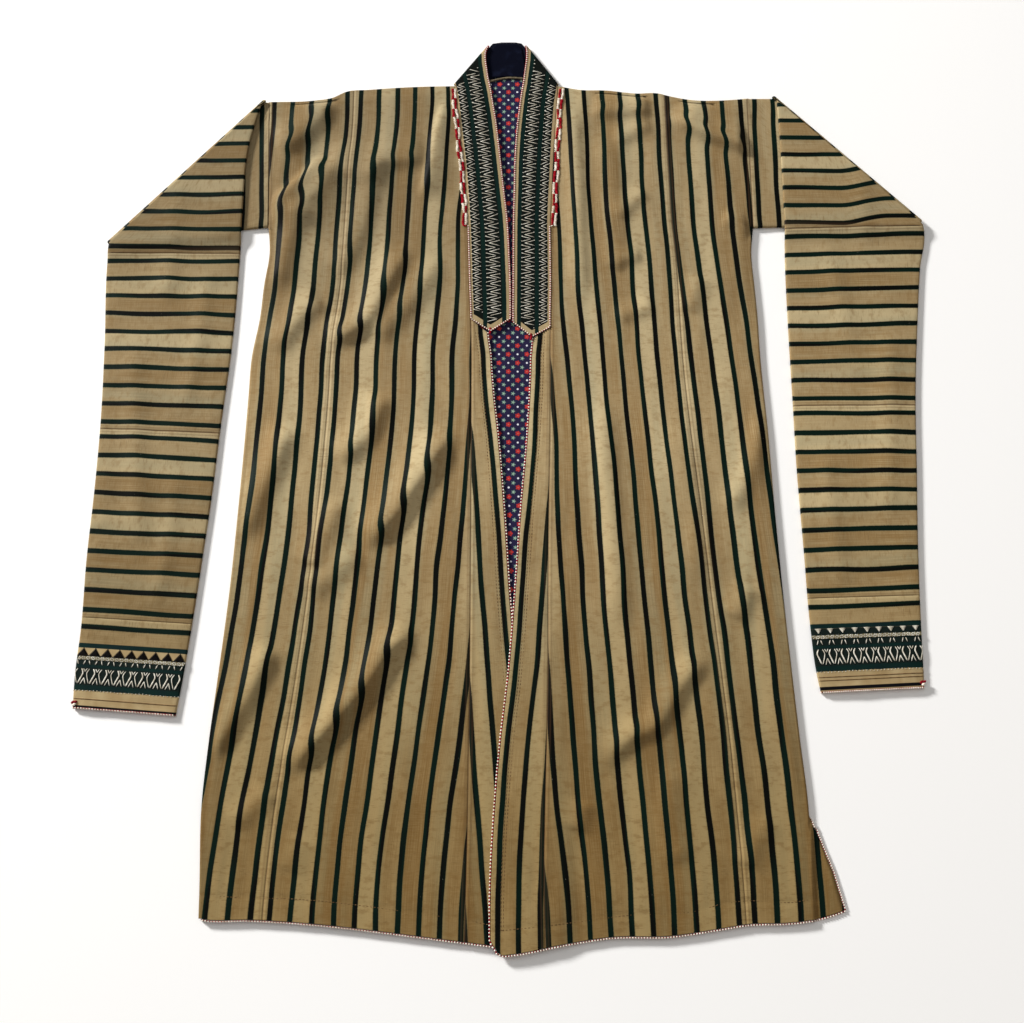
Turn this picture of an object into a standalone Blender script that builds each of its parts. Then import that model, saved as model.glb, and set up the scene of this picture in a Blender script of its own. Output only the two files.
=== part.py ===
# A chapan robe of striped handloom cloth, laid flat on its back with the sleeves turned down.
# Tables and sizes are in millimetres on the floor plane: x to the viewer's right, y towards the collar.

import math

import bmesh
import bpy
import numpy as np

MM = 0.001
MIDDLE_X, MIDDLE_Y = 5.83, 66.62   # middle of the whole outline, which becomes the origin

CLOTH = 2.0                        # shell and lining together
LINING = 0.8
COLLAR_CLOTH = 2.4
FACING = 0.6
SEAM = 0.15                        # each piece stops this short of a seam
LAYER_GAP = 0.3

BACK_LEVEL = 1.0                   # middle of the wall of the back, which lies on the floor
LINING_LEVEL = 2.7
FRONT_LEVEL = 4.4
COLLAR_BACK_LEVEL = 1.2
COLLAR_FRONT_LEVEL = 5.0
FACING_LEVEL = 3.0
LAP = 2.4                          # the right front rises this much to lie on the left one
TUBE_LOW, TUBE_HIGH = 1.0, 3.4     # middles of the two walls of a flattened sleeve
TUBE_TOP = TUBE_HIGH + CLOTH / 2
CREASE_HEIGHT = TUBE_TOP + 0.2     # the sleeve turns over about this height
LIFT = 2 * CREASE_HEIGHT - TUBE_TOP

FOLD_RADIUS = (FRONT_LEVEL - BACK_LEVEL) / 2
FOLD_REACH = FOLD_RADIUS + CLOTH / 2
COLLAR_RADIUS = (COLLAR_FRONT_LEVEL - COLLAR_BACK_LEVEL) / 2
EDGING_WIDTH = 2.4
EDGING_INSET = EDGING_WIDTH + 0.3

UNDERARM = 0.824                   # share of the way from the hem to the shoulder
LEVELS = (0, .009, .046, .0917, .105, .1163, .1238, .137, .183, .229, .275, .32, .366, .412, .458, .504, .55, .595,
          .641, .687, .733, .779, UNDERARM, .86, .90, .94, .97, 1)
BACK_LEVELS = (1, .94, .86, UNDERARM, .687, .55, .412, .275, .183, .137, .1238, .1163, .105, .0917, 0)
GORE_TOP_LEVEL = .68
GORE_LEVELS = [level for level in LEVELS if level < GORE_TOP_LEVEL - .03] + [GORE_TOP_LEVEL]
CORNER = (7.0, .8)                 # the right front's lower corner is cut off by this much
BEND_STEPS = 3
SLIT_TOP = .13
CENTRE_ACROSS, SIDE_ACROSS, SIDE_UNDER, GORE_ACROSS = 8, 5, 2, 3


def table(columns, *rows):
    names = columns.split()
    return {name: np.array([row[i] for row in rows], float) for i, name in enumerate(names)}


def read(data, column, at, key="y"):
    """Smooth curve through a table's column."""
    keys, values = data[key], data[column]
    if keys[0] > keys[-1]:
        keys, values = keys[::-1], values[::-1]
    slopes = np.gradient(values, keys)
    at = min(max(at, keys[0]), keys[-1])
    i = min(int(np.searchsorted(keys, at, side="right")) - 1, len(keys) - 2)
    span = keys[i + 1] - keys[i]
    t = (at - keys[i]) / span
    return (values[i] * (1 + 2 * t) * (1 - t) ** 2 + values[i + 1] * t * t * (3 - 2 * t)
            + span * (slopes[i] * t * (1 - t) ** 2 + slopes[i + 1] * t * t * (t - 1)))


# Body, left and right of the viewer. seam: between centre and side strip. side: armhole above, outline below.
# roll: cloth turned under at the side. inner: collar seam above, gore seam below. edge: front edge.
LEFT = table(
    "y      seam  side   roll  inner  edge",
    (590,   -210, -322,  0,    -75.5, 0),
    (540,   -210, -320,  0,    -71.0, 0),
    (450,   -214, -317,  0,    -61.5, 0),
    (385,   -216, -315,  3,    -57.5, 0),
    (345,   -217, -312,  14,   -56.0, 0),
    (300,   -219, -317,  16,   -54.5, 0),
    (256,   -223, -320,  18,   -52.5, -31),
    (200,   -228, -328,  18,   -51.0, -28.5),
    (100,   -231, -331,  20,   -50.5, -19),
    (0,     -237, -335,  20,   -50.0, -9.5),
    (-98,   -245, -340,  22,   -50.0, -2),
    (-200,  -255, -348,  25,   -50.0, 6.5),
    (-283,  -265, -355,  28,   -50.5, 13),
    (-350,  -273, -359,  32,   -51.0, 19),
    (-450,  -281, -356,  41,   -52.5, 27),
    (-530,  -284, -354,  46,   -54.5, 33))
RIGHT = table(
    "y      seam  side   roll  inner  edge",
    (590,   202,  312,   0,    61.0,  0),
    (540,   203,  312,   0,    57.5,  0),
    (450,   205,  312,   0,    52.5,  0),
    (385,   207,  312,   3,    49.5,  0),
    (345,   210,  308,   16,   49.8,  0),
    (300,   212,  310,   18,   49.8,  0),
    (256,   213,  312,   19,   49.0,  24.5),
    (200,   215,  313,   20,   48.2,  23),
    (100,   222,  318,   22,   47.5,  18.5),
    (0,     231,  321.5, 24,   45.0,  9),
    (-98,   239,  326,   26,   43.5,  1.5),
    (-200,  248,  332,   30,   42.5,  -7.5),
    (-283,  255,  337.5, 32,   40.5,  -17),
    (-350,  259,  342.5, 14,   38.5,  -22.5),
    (-450,  264,  341,   0,    36.5,  -29),
    (-530,  266,  340,   0,    38.0,  -29.5))
# The free corner at the right slit. turn: half circles the edge is still turned by. out: cloth beyond the fold.
SLIT = table(
    "y      turn  out",
    (-342,  1,    16),
    (-356,  1,    2),
    (-364,  .5,   .6),
    (-376,  .1,   5),
    (-390,  0,    9),
    (-438,  0,    26),
    (-487,  0,    38))
SHOULDER = table(
    "x      y",
    (-350,  563), (-322, 564.5), (-262, 567), (-236, 572), (-222, 579.5), (-190, 583), (-110, 588), (-77, 588.5),
    (63,    588), (90,   583),   (125, 582),  (165, 577.5), (195, 577.5), (209, 573.5), (224, 570), (350, 572))
HEM_LEFT = table(
    "x      y",
    (-358,  -482), (-348, -484), (-300, -484.5), (-203, -491), (-150, -497), (-60, -508), (-26, -512), (40, -518))
HEM_RIGHT = table(
    "x      y",
    (-30,   -517), (-24,  -520), (-12,  -523), (0, -522), (60, -511), (110, -503.5), (180, -502), (230, -495),
    (270,   -489), (310,  -488), (343,  -484), (366, -478), (383, -472))
BACK_SEAM_AT_HEM = {-1: -237.0, 1: 231.0}
CENTRE_BACK = -4.0

# Folds of the laid fronts, each a soft ridge from one place to another. width: to where it has died away by 2/3.
FOLDS = table(
    "x0    y0    x1    y1    width  height",
    (-235, 548,  -318, 478,  15,    5.0),
    (-252, 500,  -300, 425,  13,    5.5),
    (-92,  560,  -112, 465,  11,    4.5),
    (-112, 465,  -150, 330,  16,    4.0),
    (-150, 455,  -190, 350,  20,    3.0),
    (-130, 330,  -222, 215,  18,    6.0),
    (-232, 440,  -300, 270,  16,    4.0),
    (-88,  215,  -150, 20,   20,    4.5),
    (-150, 120,  -232, -60,  20,    5.0),
    (-250, 120,  -318, -60,  18,    3.0),
    (-112, -60,  -235, -255, 20,    6.5),
    (-205, -60,  -300, -215, 18,    3.5),
    (-150, -290, -235, -455, 22,    2.5),
    (-80,  60,   -92,  -330, 12,    2.5),
    (80,   560,  72,   330,  12,    4.5),
    (72,   300,  95,   20,   16,    4.5),
    (120,  470,  165, 290,   20,    3.5),
    (110,  548,  205, 546,   16,    4.0),
    (210,  542,  305, 500,   13,    6.0),
    (165,  290,  245, 70,    20,    3.0),
    (140,  60,   215, -180,  22,    3.0),
    (95,   -40,  125, -330,  18,    3.0),
    (285,  -70,  175, -215,  18,    3.5),
    (215,  -250, 120, -420,  22,    3.0))

# Flattened sleeves, x of the inner and outer outline. joins and end: y at the inner and at the outer outline.
SLEEVE_LEFT = table(
    "y      inner   outer",
    (563,   -330,   -519),
    (500,   -344,   -519),
    (400,   -349,   -519),
    (358,   -349.5, -519.5),
    (330,   -350,   -520),
    (220,   -353.5, -515),
    (110,   -362,   -512),
    (20,    -368,   -513),
    (-60,   -375,   -515.5),
    (-150,  -383.5, -515.5),
    (-200,  -389,   -518),
    (-255,  -396,   -517))
SLEEVE_RIGHT = table(
    "y      inner   outer",
    (563,   350,    528.7),
    (500,   351.5,  528.7),
    (388,   352,    528.7),
    (384,   352,    530.6),
    (378,   352,    532),
    (325,   350.5,  524),
    (250,   350,    515),
    (150,   350.5,  505),
    (50,    351,    499),
    (-50,   354,    493),
    (-140,  356.5,  489.5),
    (-200,  361,    488),
    (-230,  366,    487))
SLEEVES = {
    "left": dict(sign=-1, outline=SLEEVE_LEFT, crease=((-327.5, 562.5), (-517.3, 358.0)),
                 armhole=((-322, 564.5), (-315, 382)), underarm_end=(-519, 356),
                 joins=((344, 344), (100, 106), (-141, -133)), end=(-249.3, -240.3)),
    "right": dict(sign=1, outline=SLEEVE_RIGHT, crease=((346.5, 568.0), (526.5, 388.0)),
                  armhole=((312, 570), (312, 381)), underarm_end=(529, 389),
                  joins=((377, 382), (136, 137), (-110, -106)), end=(-222.3, -216.3)),
}

# Collar band: seam edge s, free edge f, from the tip up to the fold at the neck.
COLLAR_LEFT = table("y  f", (253, -3.5), (300, -5), (382, -9), (450, -16.5), (500, -22.5), (550, -28.5), (600, -35.5))
COLLAR_RIGHT = table("y  f", (250, 3), (300, 4), (382, 4), (450, 6.5), (500, 9), (550, 13.5), (600, 17.8))
COLLARS = {
    -1: dict(side=LEFT, free=COLLAR_LEFT, tip_seam=256, tip_free=252, tip=17.5, fold=((-75.0, 589.5), (-30.5, 648.2))),
    1: dict(side=RIGHT, free=COLLAR_RIGHT, tip_seam=247, tip_free=249, tip=15.0, fold=((59.5, 589.5), (17.4, 648.3))),
}
TIP_AT = 0.42                      # the point of the tip, across the band from the seam
NECK_SEAM = table("x  y", (-80, 589.0), (-75, 589.5), (-38, 598), (-7, 602), (24, 598), (59.5, 589.5), (66, 589))
COLLAR_TOP = ((-26, 654.0), (-14, 655.9), (-4, 656), (5, 655.9), (13, 654.2))

TAN = (0.48, 0.37, 0.21)
DARK_TAN = (0.36, 0.27, 0.14)
NAVY = (0.02, 0.02, 0.08)
VELVET = (0.006, 0.007, 0.02)
GREEN = (0.012, 0.035, 0.028)
RED = (0.5, 0.03, 0.04)


def smooth(t):
    t = min(max(t, 0.0), 1.0)
    return t * t * (3 - 2 * t)


def blend(a, b, t):
    return a + (b - a) * t


def hem(x, side):
    if side is LEFT:
        return read(HEM_LEFT, "y", x, "x") + EDGING_INSET
    return read(HEM_RIGHT, "y", x, "x") + EDGING_INSET


def shoulder(x):
    return read(SHOULDER, "y", x, "x") - FOLD_REACH


def place(x_of_y, level, side):
    """Plan position at a share of the height, on a line whose x depends on y."""
    x = x_of_y(blend(-500, 585, level))
    for _ in range(3):
        y = blend(hem(x, side), shoulder(x), level)
        x = x_of_y(y)
    return x, y


def folds(x, y):
    side = LEFT if x < 0 else RIGHT
    edge = read(side, "side", y)
    room = smooth((abs(edge) - abs(x) - 3) / 22) * smooth((shoulder(x) - y) / 22) * smooth((y - hem(x, side)) / 60)
    rise = 0.0
    for i in range(len(FOLDS["x0"])):
        x0, y0, x1, y1, width, height = (FOLDS[name][i] for name in ("x0", "y0", "x1", "y1", "width", "height"))
        length = math.hypot(x1 - x0, y1 - y0)
        along = ((x - x0) * (x1 - x0) + (y - y0) * (y1 - y0)) / length ** 2
        off = ((x - x0) * (y1 - y0) - (y - y0) * (x1 - x0)) / length
        rise += height * math.exp(-(off / width) ** 2) * smooth((along + .25) / .45) * smooth((1.25 - along) / .45)
    return rise * room


def lap(x, y):
    """How far the right front is raised where it lies on the left front."""
    return LAP * smooth((-70 - y) / 38) * smooth((78 - x) / 30)


def front_height(x, y, side):
    return FRONT_LEVEL + folds(x, y) + (lap(x, y) if side is RIGHT else 0.0)


def material(name, colour, roughness):
    made = bpy.data.materials.new(name)
    made.use_nodes = True
    shader = made.node_tree.nodes["Principled BSDF"]
    shader.inputs["Base Color"].default_value = (*colour, 1.0)
    shader.inputs["Roughness"].default_value = roughness
    shader.inputs["Metallic"].default_value = 0.0
    return made


def make_object(name, points, faces, colour, roughness):
    """One closed body from points in millimetres on the floor plane."""
    mesh = bpy.data.meshes.new(name)
    placed = [((x - MIDDLE_X) * MM, (y - MIDDLE_Y) * MM, z * MM) for x, y, z in points]
    mesh.from_pydata(placed, [], faces)
    work = bmesh.new()
    work.from_mesh(mesh)
    loose = [vert for vert in work.verts if not vert.link_faces]
    bmesh.ops.delete(work, geom=loose, context="VERTS")
    bmesh.ops.recalc_face_normals(work, faces=work.faces)
    work.to_mesh(mesh)
    work.free()
    made = bpy.data.objects.new(name, mesh)
    made.data.materials.append(material(name + "_finish", colour, roughness))
    bpy.context.scene.collection.objects.link(made)
    return made


def sheet(name, grid, thickness, colour, roughness=0.8, present=None):
    """A wall of even thickness about a grid of points. present says which cells of the grid are cloth."""
    grid = np.array(grid, float)
    rows, columns = grid.shape[:2]
    cells = [(i, j) for i in range(rows - 1) for j in range(columns - 1) if present is None or present(i, j)]
    normals = np.zeros_like(grid)
    for i, j in cells:
        corners = ((i, j), (i + 1, j), (i + 1, j + 1), (i, j + 1))
        a, b, c, d = (grid[corner] for corner in corners)
        normal = np.cross(c - a, d - b)
        length = np.linalg.norm(normal)
        for corner in corners:
            normals[corner] += normal / length
    lengths = np.linalg.norm(normals, axis=2, keepdims=True)
    normals = normals / np.where(lengths > 0, lengths, 1)
    outer = (grid + normals * thickness / 2).reshape(-1, 3)
    inner = (grid - normals * thickness / 2).reshape(-1, 3)
    count = rows * columns
    faces = []
    edges = {}
    for i, j in cells:
        ring = [i * columns + j, (i + 1) * columns + j, (i + 1) * columns + j + 1, i * columns + j + 1]
        faces.append(ring)
        faces.append([count + k for k in reversed(ring)])
        for k in range(4):
            a, b = ring[k], ring[(k + 1) % 4]
            if (b, a) in edges:
                del edges[(b, a)]
            else:
                edges[(a, b)] = True
    faces.extend([b, a, count + a, count + b] for a, b in edges)
    return make_object(name, np.vstack((outer, inner)).tolist(), faces, colour, roughness)


def tube(name, outer, inner, colour, roughness=0.8):
    """An open tube from matching rings of outer and inner points."""
    rings, around = len(outer), len(outer[0])
    count = rings * around
    points = [point for ring in outer for point in ring] + [point for ring in inner for point in ring]
    faces = []
    for i in range(rings - 1):
        for j in range(around):
            k = (j + 1) % around
            a, b, c, d = i * around + j, i * around + k, (i + 1) * around + k, (i + 1) * around + j
            faces.append([a, b, c, d])
            faces.append([count + d, count + c, count + b, count + a])
    for j in range(around):
        k = (j + 1) % around
        end = (rings - 1) * around
        faces.append([k, j, count + j, count + k])
        faces.append([end + j, end + k, count + end + k, count + end + j])
    return make_object(name, points, faces, colour, roughness)


# Body strips

def strip_line(side, column, inset=0.0):
    return lambda y: read(side, column, y) + inset


def armhole_line(sign, inset):
    (x_top, y_top), (x_low, y_low) = SLEEVES["left" if sign < 0 else "right"]["armhole"]
    return lambda y: blend(x_low, x_top, (y - y_low) / (y_top - y_low)) + inset


def back_seam(side, sign):
    top = read(side, "seam", 580)
    return lambda y: blend(top, BACK_SEAM_AT_HEM[sign], (580 - y) / 1070)


def shoulder_row(top, step, sign):
    """One row of the fold over the shoulder, drawn in a little where it meets the next strip."""
    turn = math.pi * step / BEND_STEPS
    row = [(x, y + FOLD_RADIUS * math.sin(turn), BACK_LEVEL + FOLD_RADIUS * (1 + math.cos(turn))) for x, y, _ in top]
    x, y, z = row[0]
    inward = 0.2 if row[1][0] > x else -0.2
    row[0] = (x + inward, y, z)
    return row


def centre_strip(name, side, sign):
    """From the front hem over the shoulder to the back hem, the back part reaching the centre-back seam."""
    across, neck_columns = CENTRE_ACROSS, 3
    seam = strip_line(side, "seam", -sign * SEAM)
    inner = strip_line(side, "inner", sign * SEAM)
    centre_back = CENTRE_BACK + sign * SEAM
    grid = []
    for level in LEVELS:
        ends = place(seam, level, side), place(inner, level, side)
        row = []
        for j in range(across + 1):
            x = blend(ends[0][0], ends[1][0], j / across)
            y = blend(hem(x, side), shoulder(x), level)
            row.append((x, y, front_height(x, y, side)))
        row += [row[-1]] * neck_columns
        grid.append(row)
    top = grid[-1][:across + 1]
    for step in range(1, BEND_STEPS):
        row = shoulder_row(top, step, sign)
        grid.append(row + [row[-1]] * neck_columns)
    neck_row = len(grid)
    at_back = back_seam(side, sign)
    for level in BACK_LEVELS:
        row = []
        base = at_back(blend(-500, 585, level)) - sign * SEAM
        shift = base - top[0][0]
        for j in range(across + 1):
            x = top[j][0] + shift * (1 - 0.5 * j / across)
            row.append((x, blend(hem(x, side), shoulder(x), level), BACK_LEVEL))
        for j in range(1, neck_columns + 1):
            x = blend(row[across][0], centre_back, j / neck_columns)
            high = read(NECK_SEAM, "y", x, "x") - 2 * SEAM
            row.append((x, blend(hem(x, side), high, level), BACK_LEVEL))
        grid.append(row)
    sheet(name, grid, CLOTH, TAN, present=lambda i, j: j < across or i >= neck_row)


def side_fold_x(side, sign, level):
    return place(strip_line(side, "side", -sign * FOLD_REACH), level, side)


def side_seam_x(side, sign, level):
    """Where the cloth turned under at the side meets the back, straight between the rows of the back."""
    ends = []
    for mark in BACK_LEVELS:
        x, y = side_fold_x(side, sign, mark)
        ends.append(x - sign * max(read(side, "roll", y), 1.5))
    return float(np.interp(level, BACK_LEVELS[::-1], ends[::-1]))


def side_row(side, sign, level):
    """One row of the front of a side strip: flat cloth, the turn at the side, and the cloth beyond the turn."""
    above = level > UNDERARM
    seam = strip_line(side, "seam", sign * SEAM)
    start = place(seam, level, side)
    edge = place(armhole_line(sign, -sign * SEAM), level, side) if above else side_fold_x(side, sign, level)
    row = []
    for j in range(SIDE_ACROSS + 1):
        x = blend(start[0], edge[0], j / SIDE_ACROSS)
        y = blend(hem(x, side), shoulder(x), level)
        row.append((x, y, front_height(x, y, side)))
    x, y, z = row[-1]
    is_open = side is RIGHT and level < SLIT_TOP
    turn, reach = 1.0, max(abs(x - side_seam_x(side, sign, level)), 1.2)
    if is_open:
        turn, reach = (float(np.interp(-y, -SLIT["y"], SLIT[column])) for column in ("turn", "out"))
    for step in range(1, BEND_STEPS + 1):
        angle = math.pi * turn * step / BEND_STEPS
        arc = math.sin(angle) if turn > 0.05 else 0.5 * step
        row.append((x + sign * FOLD_RADIUS * arc, y, z - FOLD_RADIUS * (1 - math.cos(angle))))
    angle = math.pi * turn
    start_x, _, start_z = row[-1]
    for step in range(1, SIDE_UNDER + 1):
        length = reach * step / SIDE_UNDER
        fall = length * math.sin(angle) if turn > 0.05 else (z - BACK_LEVEL) * smooth(length / 6)
        end_x = start_x + sign * length * math.cos(angle)
        end_y = blend(hem(end_x, side), shoulder(end_x), level) if is_open else y
        row.append((end_x, end_y, start_z - fall))
    return row


def side_strip(name, side, sign):
    """From the front hem over the shoulder to the back hem, turned under at the side below the armhole."""
    grid = [side_row(side, sign, level) for level in LEVELS]
    top = grid[-1][:SIDE_ACROSS + 1]
    hidden = grid[-1][SIDE_ACROSS + 1:]
    for step in range(1, BEND_STEPS):
        grid.append(shoulder_row(top, step, sign) + hidden)
    front_rows = LEVELS.index(UNDERARM)
    at_back = back_seam(side, sign)
    for level in BACK_LEVELS:
        start = at_back(blend(-500, 585, level)) + sign * SEAM
        if level > UNDERARM:
            end = place(armhole_line(sign, -sign * SEAM), level, side)[0]
        elif side is RIGHT and level < SLIT_TOP:
            end = min(side_fold_x(side, sign, level)[0] - 2.6, side_row(side, sign, level)[-1][0] - LAYER_GAP)
        else:
            end = side_seam_x(side, sign, level) - sign * LAYER_GAP
        row = []
        for j in range(SIDE_ACROSS + 1):
            x = blend(start, end, j / SIDE_ACROSS)
            row.append((x, blend(hem(x, side), shoulder(x), level), BACK_LEVEL))
        grid.append(row + hidden)
    sheet(name, grid, CLOTH, TAN, present=lambda i, j: j < SIDE_ACROSS or i < front_rows)


def gore_row(side, sign, level):
    ends = [place(strip_line(side, "inner", -sign * SEAM), level, side),
            place(strip_line(side, "edge", sign * EDGING_INSET), level, side)]
    collar = COLLARS[sign]
    row = []
    for j in range(GORE_ACROSS + 1):
        x = blend(ends[0][0], ends[1][0], j / GORE_ACROSS)
        y = blend(hem(x, side), shoulder(x), level)
        if level == GORE_TOP_LEVEL:
            y = collar["tip_seam"] - collar["tip"] * j / GORE_ACROSS - 1.5
        if level == 0 and j == GORE_ACROSS and side is RIGHT:
            x, y = x + CORNER[0], y + CORNER[1]
        row.append((x, y, front_height(x, y, side)))
    return row


def front_gore(name, side, sign):
    """The wedge between the centre strip and the front edge, below the collar tip."""
    sheet(name, [gore_row(side, sign, level) for level in GORE_LEVELS], CLOTH, TAN)


# Collar

def tip_depth(across):
    return across / TIP_AT if across < TIP_AT else (1 - across) / (1 - TIP_AT)


def collar_rows(sign):
    """Rows of the band from its tip up to the fold at the neck, each seam end, free end, turn and tip depth."""
    collar = COLLARS[sign]
    side, free = collar["side"], collar["free"]
    seam = strip_line(side, "inner", -sign * SEAM)
    rows = [((seam(collar["tip_seam"]), collar["tip_seam"]),
             (read(free, "f", collar["tip_free"]), collar["tip_free"]), collar["tip"])]
    for level in LEVELS:
        x, y = place(seam, level, side)
        if y > collar["tip_seam"] + 12:
            rows.append(((x, y), (read(free, "f", y + 4), y + 4), 0))
    fold_seam, fold_free = collar["fold"]
    last_seam, last_free = rows[-1][:2]
    for t in (.35, .7):
        rows.append(((blend(last_seam[0], fold_seam[0], t), blend(last_seam[1], fold_seam[1], t)),
                     (blend(last_free[0], fold_free[0], t), blend(last_free[1], fold_free[1], t)), 0))
    rows.append((fold_seam, fold_free, 0))
    return rows


def collar_line(row, shares):
    (xs, ys), (xf, yf), tip = row
    return [(blend(xs, xf, a), blend(ys, yf, a) - tip * tip_depth(a)) for a in shares]


def collar_turn(sign, shares):
    """The band turning over its diagonal fold, from the front to behind the neck."""
    (xs, ys), (xf, yf) = COLLARS[sign]["fold"]
    length = math.hypot(xf - xs, yf - ys)
    out_x, out_y = sign * (yf - ys) / length, abs(xf - xs) / length
    rows = []
    for step in range(1, BEND_STEPS):
        turn = math.pi * step / BEND_STEPS
        reach = COLLAR_RADIUS * math.sin(turn)
        height = COLLAR_BACK_LEVEL + COLLAR_RADIUS * (1 + math.cos(turn))
        rows.append([(blend(xs, xf, a) + out_x * reach, blend(ys, yf, a) + out_y * reach, height) for a in shares])
    return rows


def collar_band(name):
    shares = (0, .21, TIP_AT, .71, 1)
    halves = {}
    for sign in (-1, 1):
        rows = [[(x, y, COLLAR_FRONT_LEVEL + folds(x, y)) for x, y in collar_line(row, shares)]
                for row in collar_rows(sign)]
        halves[sign] = rows + collar_turn(sign, shares)
    grid = list(halves[-1])
    (left_seam, left_free), (right_seam, right_free) = COLLARS[-1]["fold"], COLLARS[1]["fold"]
    tops = (left_free,) + COLLAR_TOP + (right_free,)
    half = (len(tops) - 1) // 2
    for k, (xf, yf) in enumerate(tops):
        end, share = (left_seam[0], 1 - k / half) if k < half else (right_seam[0], k / half - 1)
        xs = blend(CENTRE_BACK, end, share)
        ys = read(NECK_SEAM, "y", xs, "x") + SEAM
        grid.append([(blend(xs, xf, a), blend(ys, yf, a), COLLAR_BACK_LEVEL) for a in shares])
    grid += halves[1][::-1]
    sheet(name, grid, COLLAR_CLOTH, GREEN)


def collar_facing(name):
    """Navy facing that shows inside the back of the neck."""
    low, high = ((-38, 0), (22, 0)), ((-23, 652.5), (10, 652.5))
    grid = []
    for j in range(5):
        x_low, x_high = blend(low[0][0], low[1][0], j / 4), blend(high[0][0], high[1][0], j / 4)
        y_low = read(NECK_SEAM, "y", x_low, "x") + 0.6
        grid.append([(blend(x_low, x_high, t), blend(y_low, high[0][1], t), FACING_LEVEL) for t in (0, .5, 1)])
    sheet(name, grid, FACING, VELVET)


def back_lining(name):
    """The printed lining of the back, seen between the fronts and the collar."""
    grid = []
    for t in np.linspace(0, 1, 9):
        half = blend(34, 48, smooth(t * 2))
        row = []
        for s in (-1, -.5, 0, .5, 1):
            x = -3 + s * half
            row.append((x, blend(-165, read(NECK_SEAM, "y", x, "x") - 1.0, t), LINING_LEVEL))
        grid.append(row)
    sheet(name, grid, LINING, NAVY)


# Sleeves

def tube_ring(start, end, low, high):
    """Outer and inner ring of a flattened tube in its own flat state: (x, y, height) along start to end."""
    across = 7
    length = math.hypot(end[0] - start[0], end[1] - start[1])
    dx, dy = (end[0] - start[0]) / length, (end[1] - start[1]) / length
    rings = []
    for offset in (CLOTH / 2, -CLOTH / 2):
        ring = []
        for j in range(across + 1):
            share = j / across
            ring.append((share, 0.0, low(share) - offset))
        for share, direction in ((1, 1), (0, -1)):
            bottom, top = low(share), high(share)
            if direction == -1:
                for j in range(across + 1):
                    back = 1 - j / across
                    ring.append((back, 0.0, high(back) + offset))
            radius = (top - bottom) / 2 + offset
            centre = (top + bottom) / 2
            for step in range(1, 3):
                angle = math.pi * step / 3
                height = centre - direction * radius * math.cos(angle)
                ring.append((share, direction * radius * math.sin(angle), height))
        rings.append([(blend(start[0], end[0], share) + dx * beyond, blend(start[1], end[1], share) + dy * beyond,
                       height) for share, beyond, height in ring])
    return rings


def turned(ring, turn, outward, drop):
    """A ring of the flat tube carried round the crease by a number of half circles, then dropped."""
    angle = math.pi * turn
    moved = []
    for x, y, z in ring:
        radius = CREASE_HEIGHT - z
        reach = radius * math.sin(angle)
        moved.append((x + outward[0] * reach, y + outward[1] * reach,
                      CREASE_HEIGHT - radius * math.cos(angle) - drop(x, y)))
    return moved


def sleeve_wave(share, y, sign):
    """Gentle lengthwise ripples of the turned-down sleeve."""
    middle = 0.62 if sign > 0 else 0.45
    first = math.exp(-((share - middle) / .13) ** 2) * (0.6 + 0.4 * math.sin(y / 95 + sign))
    second = math.exp(-((share - middle + .34) / .1) ** 2) * (0.5 + 0.5 * math.sin(y / 70))
    return 2.0 * first + 1.1 * second


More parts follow.
